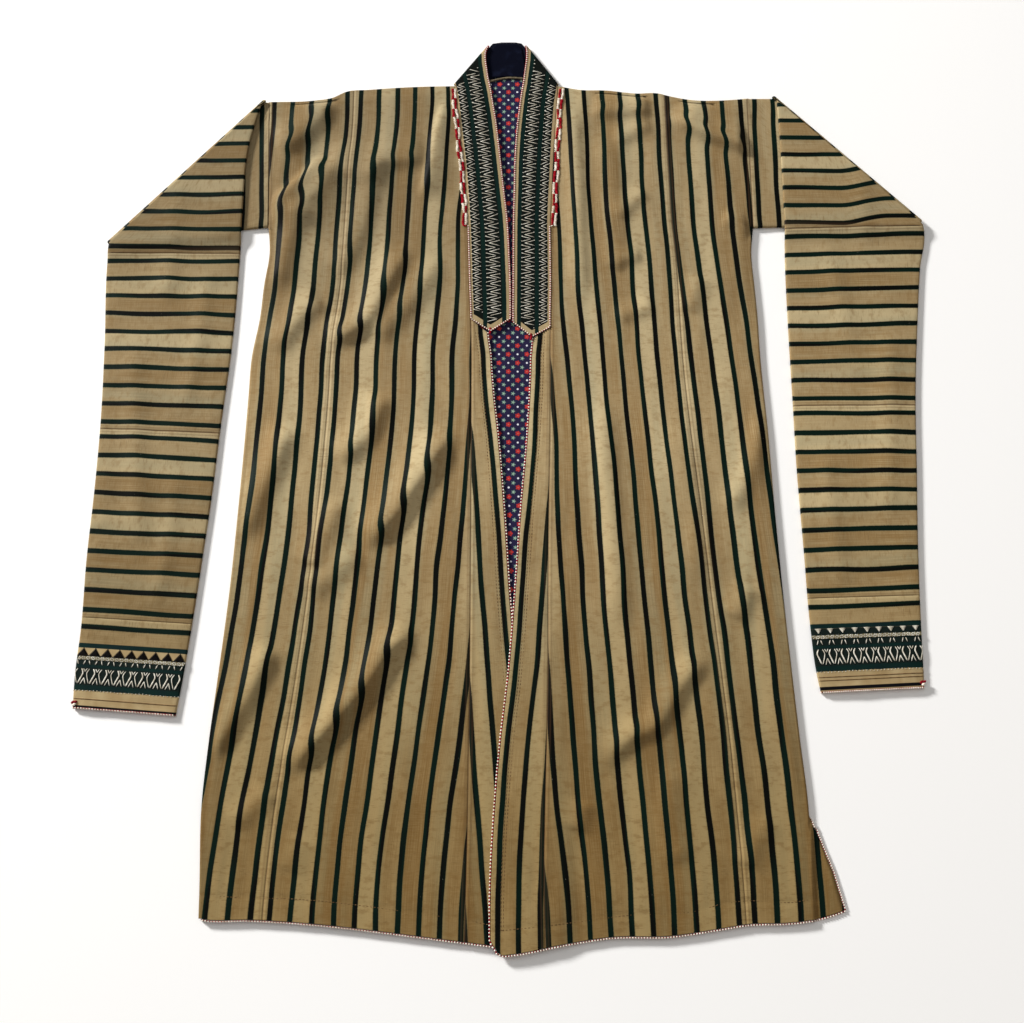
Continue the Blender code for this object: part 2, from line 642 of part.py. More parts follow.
def sleeve(side_name):
    spec = SLEEVES[side_name]
    sign, outline = spec["sign"], spec["outline"]
    tube_reach = (TUBE_HIGH - TUBE_LOW) / 2 + CLOTH / 2
    (x0, y0), (x1, y1) = spec["crease"]
    length = math.hypot(x1 - x0, y1 - y0)
    outward = (sign * abs(y1 - y0) / length, abs(x1 - x0) / length)
    armhole_top, armhole_low = spec["armhole"]
    end_low = spec["underarm_end"]

    def underarm_line(x):
        share = (x - armhole_low[0]) / (end_low[0] - armhole_low[0])
        return blend(armhole_low[1], end_low[1], min(max(share, -.1), 1.1))

    def drop(x, y):
        return LIFT * smooth((underarm_line(x) - 1.0 - y) / 26)

    def no_drop(x, y):
        return 0.0

    def edges(y_in, y_out):
        inner = (read(outline, "inner", y_in) + sign * tube_reach, y_in)
        outer = (read(outline, "outer", y_out) - sign * tube_reach, y_out)
        return inner, outer

    def flat_low(share):
        return TUBE_LOW

    def flat_high(share):
        return TUBE_HIGH

    def front_high(share):
        return FRONT_LEVEL

    def hanging(start, end):
        wave_room = smooth((underarm_line(start[0]) - 20 - start[1]) / 60)

        def waved_low(share):
            return TUBE_LOW - wave_room * sleeve_wave(share, start[1], sign)

        return [turned(ring, 1.0, outward, drop) for ring in tube_ring(start, end, waved_low, flat_high)]

    # The armhole part, from the armhole seam to the crease
    rings = []
    for share in (0, .05, .3, .65, 1):
        gap = sign * SEAM * (1 - share)
        start = (blend(armhole_top[0], x0, share) + gap, blend(armhole_top[1] - FOLD_REACH, y0, share))
        end = (blend(armhole_low[0], x1, share) + gap, blend(armhole_low[1] + tube_reach, y1, share))
        if share == 0:
            end = (end[0], end[1] + FOLD_REACH - tube_reach)
        pair = tube_ring(start, end, flat_low, front_high if share == 0 else flat_high)
        rings.append([turned(ring, 0.0, outward, no_drop) for ring in pair])
    for step in range(1, BEND_STEPS + 1):
        pair = tube_ring((x0, y0), (x1, y1), flat_low, flat_high)
        rings.append([turned(ring, step / BEND_STEPS, outward, no_drop) for ring in pair])
    join_in, join_out = (y + SEAM for y in spec["joins"][0])
    edge_line = underarm_line(read(outline, "inner", 380)) - 1.0
    stations = [blend(y0, edge_line, t) for t in (.2, .45, .7, 1)] + [edge_line - 13]
    if stations[-1] - join_in > 12:
        stations.append(blend(stations[-1], join_in, .5))
    for y_in in [y for y in stations if y > join_in + 4]:
        share = (y0 - y_in) / (y0 - join_in)
        rings.append(hanging(*edges(y_in, blend(y1, join_out, share))))
    rings.append(hanging(*edges(join_in, join_out)))
    parts = [rings]
    joins = list(spec["joins"]) + [(spec["end"][0], spec["end"][1])]
    for (in_a, out_a), (in_b, out_b) in zip(joins, joins[1:]):
        steps = 5 if in_a - in_b > 150 else 4
        stations = [0] if in_a != joins[0][0] else [0, 12 / (in_a - in_b)]
        stations += [k / steps for k in range(1, steps + 1)]
        parts.append([hanging(*edges(blend(in_a - SEAM, in_b + SEAM, t), blend(out_a - SEAM, out_b + SEAM, t)))
                      for t in stations])
    for number, rings in enumerate(parts, 1):
        name = f"sleeve_{side_name}_{number}"
        tube(name, [pair[0] for pair in rings], [pair[1] for pair in rings], TAN if number < 4 else DARK_TAN)
    in_end, out_end = spec["end"]
    rings = [hanging(*edges(in_end - SEAM - d, out_end - SEAM - d)) for d in (0, EDGING_WIDTH)]
    tube(f"edging_cuff_{side_name}", [pair[0] for pair in rings], [pair[1] for pair in rings], RED)


# Edging braid

def edging(name, path):
    """A narrow braid beside a line of (x, y, level), to the right of its direction."""
    count = len(path)
    rows = []
    for i, (x, y, level) in enumerate(path):
        sides = []
        for a, b in ((max(i - 1, 0), max(i, 1)), (min(i, count - 2), min(i + 1, count - 1))):
            length = math.hypot(path[b][0] - path[a][0], path[b][1] - path[a][1])
            sides.append(((path[b][1] - path[a][1]) / length, -(path[b][0] - path[a][0]) / length))
        nx, ny = sides[0][0] + sides[1][0], sides[0][1] + sides[1][1]
        scale = 2 / (nx * nx + ny * ny)
        nx, ny = nx * scale, ny * scale
        near, far = LAYER_GAP, LAYER_GAP + EDGING_WIDTH
        rows.append([(x + nx * near, y + ny * near, level), (x + nx * far, y + ny * far, level)])
    sheet(name, rows, CLOTH, RED)


def front_edging(name, side, sign):
    """Down the front edge, round the corner, along the hem and, on the right, up the slit."""
    path = [gore_row(side, sign, level)[-1] for level in reversed(GORE_LEVELS)]
    path += gore_row(side, sign, 0)[-2:0:-1]
    inner, seam = (place(strip_line(side, column), 0, side)[0] for column in ("inner", "seam"))
    for j in range(CENTRE_ACROSS):
        x = blend(inner, seam, j / CENTRE_ACROSS)
        path.append((x, hem(x, side), front_height(x, hem(x, side), side)))
    path += side_row(side, sign, 0)[:SIDE_ACROSS + 1]
    if side is RIGHT:
        path += side_row(side, sign, 0)[SIDE_ACROSS + 1:]
        path += [side_row(side, sign, level)[-1] for level in LEVELS[1:] if level < .1]
    edging(name, path if side is RIGHT else path[::-1])


def main():
    for old in list(bpy.data.objects):
        bpy.data.objects.remove(old, do_unlink=True)
    for word, side, sign in (("left", LEFT, -1), ("right", RIGHT, 1)):
        centre_strip(f"body_centre_{word}", side, sign)
        side_strip(f"body_side_{word}", side, sign)
        front_gore(f"front_gore_{word}", side, sign)
        sleeve(word)
        front_edging(f"edging_front_{word}", side, sign)
    back_lining("back_lining")
    collar_band("collar")
    collar_facing("collar_facing")


main()
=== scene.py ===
# A striped handloom robe laid flat, dressed over its solids: cloth, embroidery, braid, lining and light.
# Cloth is drawn in millimetres on the floor plane, x to the viewer's right and y towards the collar.
import math

import bpy
import numpy as np
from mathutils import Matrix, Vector


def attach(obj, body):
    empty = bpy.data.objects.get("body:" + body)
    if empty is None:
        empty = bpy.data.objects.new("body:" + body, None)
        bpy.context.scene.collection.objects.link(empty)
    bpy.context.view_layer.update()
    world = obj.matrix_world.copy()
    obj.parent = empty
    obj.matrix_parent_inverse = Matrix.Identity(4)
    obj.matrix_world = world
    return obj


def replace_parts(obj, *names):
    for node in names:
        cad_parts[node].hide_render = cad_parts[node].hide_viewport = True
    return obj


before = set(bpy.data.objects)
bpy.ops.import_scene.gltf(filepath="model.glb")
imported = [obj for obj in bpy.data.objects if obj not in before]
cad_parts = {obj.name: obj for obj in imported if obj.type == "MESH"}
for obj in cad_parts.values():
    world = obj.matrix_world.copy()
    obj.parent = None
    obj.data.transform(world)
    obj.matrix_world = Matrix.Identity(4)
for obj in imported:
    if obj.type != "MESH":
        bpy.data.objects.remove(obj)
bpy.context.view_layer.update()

plan = dict(middleX=5.83, middleY=66.62, mm=0.001)
wall = dict(cloth=2.0, collar=2.4, lining=0.8, facing=0.6, seam=0.05)
level = dict(back=1.0, lining=2.7, front=4.4, collarBack=1.2, collarFront=5.0, facing=3.0, lap=2.4)
foldRadius = (level["front"] - level["back"]) / 2
foldReach = foldRadius + wall["cloth"] / 2
collarRadius = (level["collarFront"] - level["collarBack"]) / 2
edgingInset = 2.7
stripePitch = 0.0245  # metres of cloth from stripe to stripe in every UV map


def table(columns, *rows):
    names = columns.split()
    return {name: np.array([row[i] for row in rows], float) for i, name in enumerate(names)}


def curve(data, column, at, key="y"):
    # smooth line through a column of a table
    keys, values = data[key], data[column]
    if keys[0] > keys[-1]:
        keys, values = keys[::-1], values[::-1]
    slopes = np.gradient(values, keys)
    at = np.clip(np.asarray(at, float), keys[0], keys[-1])
    i = np.clip(np.searchsorted(keys, at, side="right") - 1, 0, len(keys) - 2)
    span = keys[i + 1] - keys[i]
    t = (at - keys[i]) / span
    return (values[i] * (1 + 2 * t) * (1 - t) ** 2 + values[i + 1] * t * t * (3 - 2 * t)
            + span * (slopes[i] * t * (1 - t) ** 2 + slopes[i + 1] * t * t * (t - 1)))


def smooth(t):
    t = np.clip(t, 0.0, 1.0)
    return t * t * (3 - 2 * t)


def blend(a, b, t):
    return a + (b - a) * t


def softNoise(x, y, sizeX, sizeY, seed):
    # even wandering between -1 and 1, the same on every run
    gx, gy = np.asarray(x) / sizeX + seed * 17.3, np.asarray(y) / sizeY + seed * 5.1
    ix, iy = np.floor(gx), np.floor(gy)
    fx, fy = smooth(gx - ix), smooth(gy - iy)

    def spot(i, j):
        value = np.sin(i * 127.1 + j * 311.7 + seed * 74.7) * 43758.5453
        return value - np.floor(value)

    low = blend(spot(ix, iy), spot(ix + 1, iy), fx)
    high = blend(spot(ix, iy + 1), spot(ix + 1, iy + 1), fx)
    return blend(low, high, fy) * 2 - 1


# Materials

def newMaterial(name, roughness, specular=0.04):
    made = bpy.data.materials.new(name)
    made.use_nodes = True
    shader = made.node_tree.nodes["Principled BSDF"]
    shader.inputs["Roughness"].default_value = roughness
    shader.inputs["Specular IOR Level"].default_value = specular
    return made, made.node_tree, shader


def add(tree, kind, **values):
    node = tree.nodes.new(kind)
    for key, value in values.items():
        setattr(node, key, value)
    return node


def plug(tree, value, socket):
    if isinstance(value, (int, float)):
        socket.default_value = value
    elif isinstance(value, tuple):
        socket.default_value = (*value, 1.0) if len(socket.default_value) == 4 else value
    else:
        tree.links.new(value, socket)


def calc(tree, operation, *values):
    node = add(tree, "ShaderNodeMath", operation=operation)
    for i, value in enumerate(values):
        plug(tree, value, node.inputs[i])
    return node.outputs[0]


def plus(tree, a, b):
    return calc(tree, "ADD", a, b)


def minus(tree, a, b):
    return calc(tree, "SUBTRACT", a, b)


def times(tree, a, b):
    return calc(tree, "MULTIPLY", a, b)


def inverse(tree, a):
    return calc(tree, "SUBTRACT", 1.0, a)


def step(tree, value, low, high):
    # 0 below low, 1 above high, smooth between
    node = add(tree, "ShaderNodeMapRange", interpolation_type="SMOOTHSTEP")
    plug(tree, value, node.inputs["Value"])
    plug(tree, low, node.inputs["From Min"])
    plug(tree, high, node.inputs["From Max"])
    return node.outputs["Result"]


def mix(tree, share, a, b, how="MIX"):
    node = add(tree, "ShaderNodeMix", data_type="RGBA", blend_type=how)
    plug(tree, share, node.inputs["Factor"])
    plug(tree, a, node.inputs["A"])
    plug(tree, b, node.inputs["B"])
    return node.outputs["Result"]


def noise(tree, vector, scale, detail=2.0, rough=0.5):
    node = add(tree, "ShaderNodeTexNoise")
    tree.links.new(vector, node.inputs["Vector"])
    plug(tree, scale, node.inputs["Scale"])
    plug(tree, detail, node.inputs["Detail"])
    plug(tree, rough, node.inputs["Roughness"])
    return node.outputs["Fac"]


def stretched(tree, vector, x, y, z=1.0):
    node = add(tree, "ShaderNodeVectorMath", operation="MULTIPLY")
    tree.links.new(vector, node.inputs[0])
    node.inputs[1].default_value = (x, y, z)
    return node.outputs[0]


def grain(tree, uv, x, y, detail, rough=0.5):
    # noise drawn out along the cloth, x and y in cells per metre
    return noise(tree, stretched(tree, uv, x, y), 1.0, detail, rough)


def uneven(tree, uv, x, y, size):
    # the uneven edge of a stripe or band, to either side of 0
    return times(tree, minus(tree, grain(tree, uv, x, y, 1.0), 0.5), size)


def clothCoords(tree):
    uv = add(tree, "ShaderNodeUVMap", uv_map="cloth").outputs["UV"]
    split = add(tree, "ShaderNodeSeparateXYZ")
    tree.links.new(uv, split.inputs[0])
    return uv, split.outputs["X"], split.outputs["Y"]


def bump(tree, shader, height, strength, distance):
    node = add(tree, "ShaderNodeBump")
    node.inputs["Strength"].default_value = strength
    node.inputs["Distance"].default_value = distance
    tree.links.new(height, node.inputs["Height"])
    tree.links.new(node.outputs["Normal"], shader.inputs["Normal"])


# The two colours at the end of this table are painted shade, multiplied into the cloth towards the hem and
# over the upper left.
stripedCloth = dict(light=(0.50, 0.40, 0.225), brown=(0.262, 0.165, 0.066), grey=(0.35, 0.32, 0.20),
                    stripe=(0.002, 0.0095, 0.0062), stripeDark=(0.0025, 0.003, 0.0022), halfStripe=3.1,
                    roughness=0.6, hemShade=(0.67, 0.60, 0.46), shoulder=(0.68, 0.68, 0.69))


def stripeShade(tree, look):
    # colour and height of the striped cloth; the map's x runs across the stripes
    uv, across, along = clothCoords(tree)
    place = add(tree, "ShaderNodeTexCoord").outputs["Object"]
    wander = uneven(tree, uv, 30, 9, 0.0026)
    ragged = uneven(tree, uv, 60, 700, 0.0007)
    number = calc(tree, "DIVIDE", plus(tree, across, wander), stripePitch)
    nearest = calc(tree, "ROUND", number)
    off = times(tree, calc(tree, "ABSOLUTE", minus(tree, number, nearest)), stripePitch)
    off = plus(tree, off, ragged)
    half = look["halfStripe"] * 0.001
    inStripe = inverse(tree, step(tree, off, half - 0.0003, half + 0.0003))
    halo = inverse(tree, step(tree, off, half + 0.0002, half + 0.0014))
    band = calc(tree, "FLOOR", number)
    bandTone = add(tree, "ShaderNodeTexWhiteNoise", noise_dimensions="1D")
    tree.links.new(band, bandTone.inputs["W"])
    slowTone = grain(tree, uv, 26, 5, 2.0)
    tone = plus(tree, times(tree, bandTone.outputs["Value"], 0.62), times(tree, slowTone, 0.7))
    colour = mix(tree, step(tree, tone, 0.32, 0.98), look["light"], look["brown"])
    greyness = grain(tree, uv, 45, 3, 1.0)
    colour = mix(tree, times(tree, step(tree, greyness, 0.45, 0.75), 0.55), colour, look["grey"])
    warp = grain(tree, uv, 1500, 14, 2.0, 0.6)
    weft = grain(tree, uv, 55, 1100, 2.0, 0.6)
    threads = plus(tree, times(tree, warp, 0.6), times(tree, weft, 0.4))
    colour = mix(tree, times(tree, step(tree, threads, 0.42, 0.62), 0.34), colour, (0.56, 0.45, 0.26))
    patches = grain(tree, uv, 70, 120, 3.0, 0.6)
    colour = mix(tree, times(tree, step(tree, patches, 0.48, 0.68), 0.42), colour, look["brown"])
    slub = step(tree, weft, 0.60, 0.70)
    colour = mix(tree, times(tree, slub, 0.62), colour, (0.19, 0.12, 0.05))
    soil = noise(tree, place, 7.0, 3.0)
    colour = mix(tree, times(tree, step(tree, soil, 0.50, 0.78), 0.25), colour, (0.20, 0.13, 0.06))
    colour = mix(tree, times(tree, halo, 0.45), colour, (0.17, 0.17, 0.10))
    spot = add(tree, "ShaderNodeSeparateXYZ")
    tree.links.new(place, spot.inputs[0])
    # painted shade: the cloth is multiplied darker and warmer towards the hem, fading out above the waist
    hemShadeShare = inverse(tree, step(tree, spot.outputs["Y"], -0.52, 0.12))
    colour = mix(tree, hemShadeShare, colour, mix(tree, 1.0, colour, look["hemShade"], "MULTIPLY"))
    # painted shade: the cloth is multiplied darker over the upper left of the body and over the whole left
    # sleeve
    leftSide = inverse(tree, times(tree, step(tree, spot.outputs["X"], -0.25, 0.10), 0.55))
    above = times(tree, step(tree, spot.outputs["Y"], 0.02, 0.36), leftSide)
    sleeveSide = inverse(tree, step(tree, spot.outputs["X"], -0.37, -0.33))
    above = calc(tree, "MAXIMUM", above, times(tree, sleeveSide, 0.6))
    colour = mix(tree, above, colour, mix(tree, 1.0, colour, look["shoulder"], "MULTIPLY"))
    darkness = grain(tree, uv, 90, 7, 1.0)
    stripe = mix(tree, step(tree, darkness, 0.4, 0.6), look["stripe"], look["stripeDark"])
    fleck = step(tree, grain(tree, uv, 900, 420, 1.0), 0.80, 0.84)
    stripe = mix(tree, times(tree, fleck, 0.8), stripe, (0.55, 0.55, 0.48))
    colour = mix(tree, inStripe, colour, stripe)
    weave = plus(tree, calc(tree, "SINE", times(tree, across, 2 * math.pi / 0.0008)),
                 calc(tree, "SINE", times(tree, along, 2 * math.pi / 0.0009)))
    height = plus(tree, threads, times(tree, weave, 0.08))
    height = plus(tree, height, times(tree, slub, 0.25))
    return colour, height, inStripe


def makeStripedCloth():
    made, tree, shader = newMaterial("striped handloom cloth", stripedCloth["roughness"])
    colour, height, inStripe = stripeShade(tree, stripedCloth)
    seamShade = add(tree, "ShaderNodeAttribute", attribute_name="seam").outputs["Fac"]
    colour = mix(tree, times(tree, seamShade, 0.72), colour, (0.09, 0.045, 0.022))
    tree.links.new(colour, shader.inputs["Base Color"])
    shine = minus(tree, stripedCloth["roughness"], times(tree, inStripe, 0.12))
    tree.links.new(shine, shader.inputs["Roughness"])
    bump(tree, shader, height, 0.35, 0.0005)
    return made


embroidery = dict(braid=2.6, beigeInner=6.0, greenInner=11.2, wideColumn=29.0, greenOuter=34.0,
                  narrowColumn=45.4)


def makeCollarCloth():
    # the same cloth, with the spaces between its stripes worked over in dark thread; x is from the free edge
    made, tree, shader = newMaterial("collar cloth", 0.6)
    uv, across, along = clothCoords(tree)
    ragged = uneven(tree, uv, 80, 600, 0.0009)
    here = plus(tree, across, ragged)
    look = {key: value * 0.001 for key, value in embroidery.items()}
    soft = 0.0003
    rows = grain(tree, uv, 120, 1500, 2.0)
    beige = mix(tree, grain(tree, uv, 200, 30, 2.0), (0.30, 0.22, 0.115), (0.43, 0.335, 0.19))
    green = mix(tree, grain(tree, uv, 300, 20, 2.0), (0.003, 0.020, 0.014), (0.0025, 0.007, 0.008))
    worked = mix(tree, rows, (0.0015, 0.0025, 0.002), (0.006, 0.009, 0.007))
    tip = add(tree, "ShaderNodeAttribute", attribute_name="tip").outputs["Fac"]
    tip = plus(tree, tip, times(tree, ragged, 900.0))
    outline = mix(tree, step(tree, tip, 10.4, 11.2), (0.003, 0.003, 0.003), worked)
    worked = mix(tree, step(tree, tip, 8.6, 9.2), beige, outline)
    red = mix(tree, rows, (0.22, 0.006, 0.014), (0.10, 0.008, 0.012))
    colour = mix(tree, step(tree, across, look["braid"] - soft, look["braid"] + soft), red, beige)
    for key, beyond in (("beigeInner", green), ("greenInner", worked), ("wideColumn", green),
                        ("greenOuter", worked), ("narrowColumn", beige)):
        colour = mix(tree, step(tree, here, look[key] - soft, look[key] + soft), colour, beyond)
    inside = add(tree, "ShaderNodeAttribute", attribute_name="inside").outputs["Fac"]
    navy = mix(tree, rows, (0.001, 0.0015, 0.005), (0.004, 0.006, 0.016))
    colour = mix(tree, step(tree, inside, 0.05, 0.3), colour, navy)
    tree.links.new(colour, shader.inputs["Base Color"])
    bump(tree, shader, rows, 0.5, 0.0006)
    return made


cuffBands = {"Left": dict(top=5.7, ground=15.2), "Right": dict(top=5.5, ground=5.5)}
cuffLook = dict(greenFrom=25.8, greenTo=29.5, lowGreen=50.0, ground=57.0, black=75.0, blackEnd=79.2)


def makeCuffCloth(word):
    # striped cloth above, worked dark bands below; "bands" is the distance below the top of the ornament
    made, tree, shader = newMaterial(f"cuff cloth {word.lower()}", 0.65)
    colour, height, inStripe = stripeShade(tree, stripedCloth)
    uv, across, along = clothCoords(tree)
    look, bounds = cuffLook, cuffBands[word]
    bands = add(tree, "ShaderNodeAttribute", attribute_name="bands").outputs["Fac"]
    plain = add(tree, "ShaderNodeAttribute", attribute_name="plain").outputs["Fac"]
    beige = mix(tree, grain(tree, uv, 40, 60, 2.0), stripedCloth["light"], stripedCloth["brown"])
    colour = mix(tree, plain, colour, beige)
    ragged = uneven(tree, uv, 60, 420, 2.6)
    here = plus(tree, bands, ragged)

    def between(value, low, high, soft=0.35):
        below = inverse(tree, step(tree, value, high - soft, high + soft))
        return times(tree, step(tree, value, low - soft, low + soft), below)

    darkRows = grain(tree, uv, 1500, 160, 2.0)
    dark = mix(tree, darkRows, (0.003, 0.007, 0.006), (0.011, 0.018, 0.016))
    green = mix(tree, grain(tree, uv, 60, 40, 2.0), (0.004, 0.024, 0.017), (0.004, 0.009, 0.014))
    colour = mix(tree, between(bands, 0.0, bounds["top"]), colour, green)
    inBand = between(here, bounds["ground"], look["ground"], 0.5)
    inBand = calc(tree, "MAXIMUM", inBand, between(bands, bounds["ground"], look["lowGreen"], 0.3))
    colour = mix(tree, inBand, colour, dark)
    inGreen = calc(tree, "MAXIMUM", between(here, look["greenFrom"], look["greenTo"]),
                   step(tree, here, look["lowGreen"], 51.0))
    colour = mix(tree, times(tree, inBand, inGreen), colour, green)
    colour = mix(tree, between(bands, look["black"], look["blackEnd"]), colour, (0.004, 0.004, 0.005))
    tree.links.new(colour, shader.inputs["Base Color"])
    bump(tree, shader, mix(tree, inBand, height, times(tree, darkRows, 1.6)), 0.4, 0.0006)
    return made


# A navy print; its colours are also darkened overall as painted shade, for the lining lying lower than the
# fronts and collar around it.
liningPrint = dict(cell=0.0117, ground=(0.009, 0.007, 0.026), groundLight=(0.028, 0.024, 0.070),
                   red=(0.42, 0.030, 0.030),
                   green=(0.14, 0.25, 0.17), white=(0.72, 0.74, 0.80))


def makePrintedLining():
    made, tree, shader = newMaterial("printed lining", 0.75)
    uv, x, y = clothCoords(tree)
    look = liningPrint
    drift = uneven(tree, uv, 60, 60, 0.08)

    def cells(offset):
        parts = []
        for value in (x, y):
            scaled = plus(tree, calc(tree, "DIVIDE", value, look["cell"]), offset)
            scaled = plus(tree, scaled, drift)
            whole = calc(tree, "FLOOR", scaled)
            parts.append((whole, minus(tree, minus(tree, scaled, whole), 0.5)))
        (i, dx), (j, dy) = parts
        away = calc(tree, "SQRT", plus(tree, times(tree, dx, dx), times(tree, dy, dy)))
        turn = calc(tree, "ARCTAN2", dy, dx)
        odd = calc(tree, "ABSOLUTE", calc(tree, "MODULO", plus(tree, i, j), 2.0))
        return away, turn, odd

    def flower(away, turn, petals, size, wave):
        edge = plus(tree, size, times(tree, calc(tree, "COSINE", times(tree, turn, petals)), wave))
        gap = minus(tree, away, edge)
        return inverse(tree, step(tree, gap, -0.03, 0.03))

    blots = grain(tree, uv, 300, 300, 2.0)
    colour = mix(tree, blots, look["ground"], look["groundLight"])
    away, turn, odd = cells(0.5)
    redFlower = times(tree, flower(away, turn, 5.0, 0.25, 0.04), inverse(tree, odd))
    colour = mix(tree, redFlower, colour, look["red"])
    heart = times(tree, inverse(tree, step(tree, away, 0.05, 0.09)), inverse(tree, odd))
    colour = mix(tree, heart, colour, (0.50, 0.13, 0.09))
    dot = times(tree, inverse(tree, step(tree, away, 0.08, 0.13)), odd)
    colour = mix(tree, dot, colour, look["white"])
    away, turn, odd = cells(0.0)
    pale = mix(tree, blots, look["green"], (0.26, 0.42, 0.36))
    colour = mix(tree, times(tree, flower(away, turn, 5.0, 0.17, 0.06), 0.9), colour, pale)
    heart = inverse(tree, step(tree, away, 0.04, 0.08))
    colour = mix(tree, heart, colour, (0.42, 0.50, 0.36))
    tree.links.new(colour, shader.inputs["Base Color"])
    weave = grain(tree, uv, 1400, 1400, 1.0)
    bump(tree, shader, weave, 0.3, 0.0003)
    return made


def makeVelvet():
    made, tree, shader = newMaterial("navy velvet", 0.9)
    place = add(tree, "ShaderNodeTexCoord").outputs["Object"]
    pile = noise(tree, place, 1400.0, 2.0)
    rubbed = noise(tree, place, 60.0, 3.0)
    colour = mix(tree, step(tree, rubbed, 0.5, 0.8), (0.0015, 0.0022, 0.008), (0.006, 0.009, 0.024))
    lint = step(tree, noise(tree, place, 620.0, 1.0), 0.74, 0.80)
    colour = mix(tree, times(tree, lint, 0.25), colour, (0.08, 0.09, 0.14))
    tree.links.new(colour, shader.inputs["Base Color"])
    shader.inputs["Sheen Weight"].default_value = 0.15
    shader.inputs["Sheen Roughness"].default_value = 0.3
    bump(tree, shader, pile, 0.5, 0.0005)
    return made


def makeThread(name, dark, light, roughness=0.55):
    # twisted cotton or silk thread, lighter and darker from ply to ply
    made, tree, shader = newMaterial(name, roughness)
    place = add(tree, "ShaderNodeTexCoord").outputs["Object"]
    tone = noise(tree, place, 180.0, 2.0)
    colour = mix(tree, step(tree, tone, 0.35, 0.65), dark, light)
    tree.links.new(colour, shader.inputs["Base Color"])
    bump(tree, shader, noise(tree, place, 2600.0, 1.0), 0.5, 0.0003)
    return made


finishes = dict(
    striped=makeStripedCloth(),
    collar=makeCollarCloth(),
    cuffLeft=makeCuffCloth("Left"),
    cuffRight=makeCuffCloth("Right"),
    lining=makePrintedLining(),
    velvet=makeVelvet(),
    red=makeThread("red thread", (0.27, 0.006, 0.014), (0.44, 0.012, 0.026)),
    darkRed=makeThread("dark red thread", (0.16, 0.004, 0.010), (0.30, 0.008, 0.018)),
    cream=makeThread("cream thread", (0.50, 0.46, 0.37), (0.80, 0.77, 0.68)),
    white=makeThread("white thread", (0.76, 0.67, 0.55), (0.92, 0.87, 0.78)),
    paleGreen=makeThread("straw thread", (0.26, 0.21, 0.09), (0.42, 0.36, 0.20)),
    dark=makeThread("black thread", (0.003, 0.0025, 0.0025), (0.008, 0.006, 0.006)),
    sewing=makeThread("sewing thread", (0.10, 0.055, 0.022), (0.20, 0.12, 0.055)),
    piping=makeThread("piping cloth", (0.10, 0.08, 0.05), (0.19, 0.155, 0.10), 0.7),
)
print("stage: materials")


# Meshes

def toFloor(points):
    # from millimetres on the plane to metres about the robe's middle
    points = np.array(points, float).reshape(-1, 3)
    return (points - (plan["middleX"], plan["middleY"], 0.0)) * plan["mm"]


def makeMesh(name, points, faces, materials, uv=None, attributes=None, faceMaterials=None):
    mesh = bpy.data.meshes.new(name)
    mesh.from_pydata(toFloor(points).tolist(), [], [list(map(int, face)) for face in faces])
    for key in materials:
        mesh.materials.append(finishes[key])
    if faceMaterials is not None:
        mesh.polygons.foreach_set("material_index", np.array(faceMaterials, dtype=np.int32))
    corners = np.empty(len(mesh.loops), dtype=np.int32)
    mesh.loops.foreach_get("vertex_index", corners)
    if uv is not None:
        layer = mesh.uv_layers.new(name="cloth")
        layer.data.foreach_set("uv", np.asarray(uv, float)[corners].ravel())
    for key, values in (attributes or {}).items():
        layer = mesh.attributes.new(key, "FLOAT", "POINT")
        layer.data.foreach_set("value", np.asarray(values, np.float32).ravel())
    mesh.polygons.foreach_set("use_smooth", np.ones(len(mesh.polygons), dtype=bool))
    mesh.update()
    piece = bpy.data.objects.new(name, mesh)
    bpy.context.scene.collection.objects.link(piece)
    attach(piece, "root")
    return piece


def gridNormals(grid, cells):
    i, j = cells
    a, b, c, d = grid[i, j], grid[i + 1, j], grid[i + 1, j + 1], grid[i, j + 1]
    normal = np.cross(c - a, d - b)
    normal /= np.maximum(np.linalg.norm(normal, axis=1, keepdims=True), 1e-9)
    normals = np.zeros_like(grid)
    for di, dj in ((0, 0), (1, 0), (1, 1), (0, 1)):
        np.add.at(normals, (i + di, j + dj), normal)
    return normals / np.maximum(np.linalg.norm(normals, axis=2, keepdims=True), 1e-9)


def clothSheet(name, grid, uv, thickness, material, present=None, attributes=None):
    # a closed wall about a grid of points, with the same map on both of its faces
    grid, uv = np.array(grid, float), np.array(uv, float)
    rows, columns = grid.shape[:2]
    if present is None:
        present = np.ones((rows - 1, columns - 1), bool)
    i, j = np.nonzero(present)
    normals = gridNormals(grid, (i, j))
    outer, inner = grid + normals * thickness / 2, grid - normals * thickness / 2
    count = rows * columns
    ring = np.stack((i * columns + j, (i + 1) * columns + j, (i + 1) * columns + j + 1,
                     i * columns + j + 1), 1)
    edges = {}
    for quad in ring.tolist():
        for k in range(4):
            a, b = quad[k], quad[(k + 1) % 4]
            if (b, a) in edges:
                del edges[(b, a)]
            else:
                edges[(a, b)] = True
    rim = np.array([(b, a, count + a, count + b) for a, b in edges])
    faces = np.vstack((ring, ring[:, ::-1] + count, rim))
    points = np.vstack((outer.reshape(-1, 3), inner.reshape(-1, 3)))
    used = np.unique(faces)
    renumber = np.full(2 * count, -1)
    renumber[used] = np.arange(len(used))
    both = {}
    for key, values in (attributes or {}).items():
        values = np.asarray(values, float).ravel()
        both[key] = (values if len(values) == 2 * count else np.tile(values, 2))[used]
    return makeMesh(name, points[used], renumber[faces], [material],
                    np.tile(uv.reshape(-1, 2), (2, 1))[used], both)


def spacing(start, end, pitch, closeBy=(0.6, 1.2, 2.0, 2.8, 3.6, 5.0)):
    # stations from 0 to 1 over a length, close together near both ends
    length = abs(end - start)
    near = [d / length for d in closeBy if d < length / 3]
    middle = np.linspace(near[-1] if near else 0, 1 - near[-1] if near else 1, max(int(length / pitch), 2))
    return np.unique(np.round(np.concatenate(([0], near, middle, [1 - d for d in near], [1])), 6))


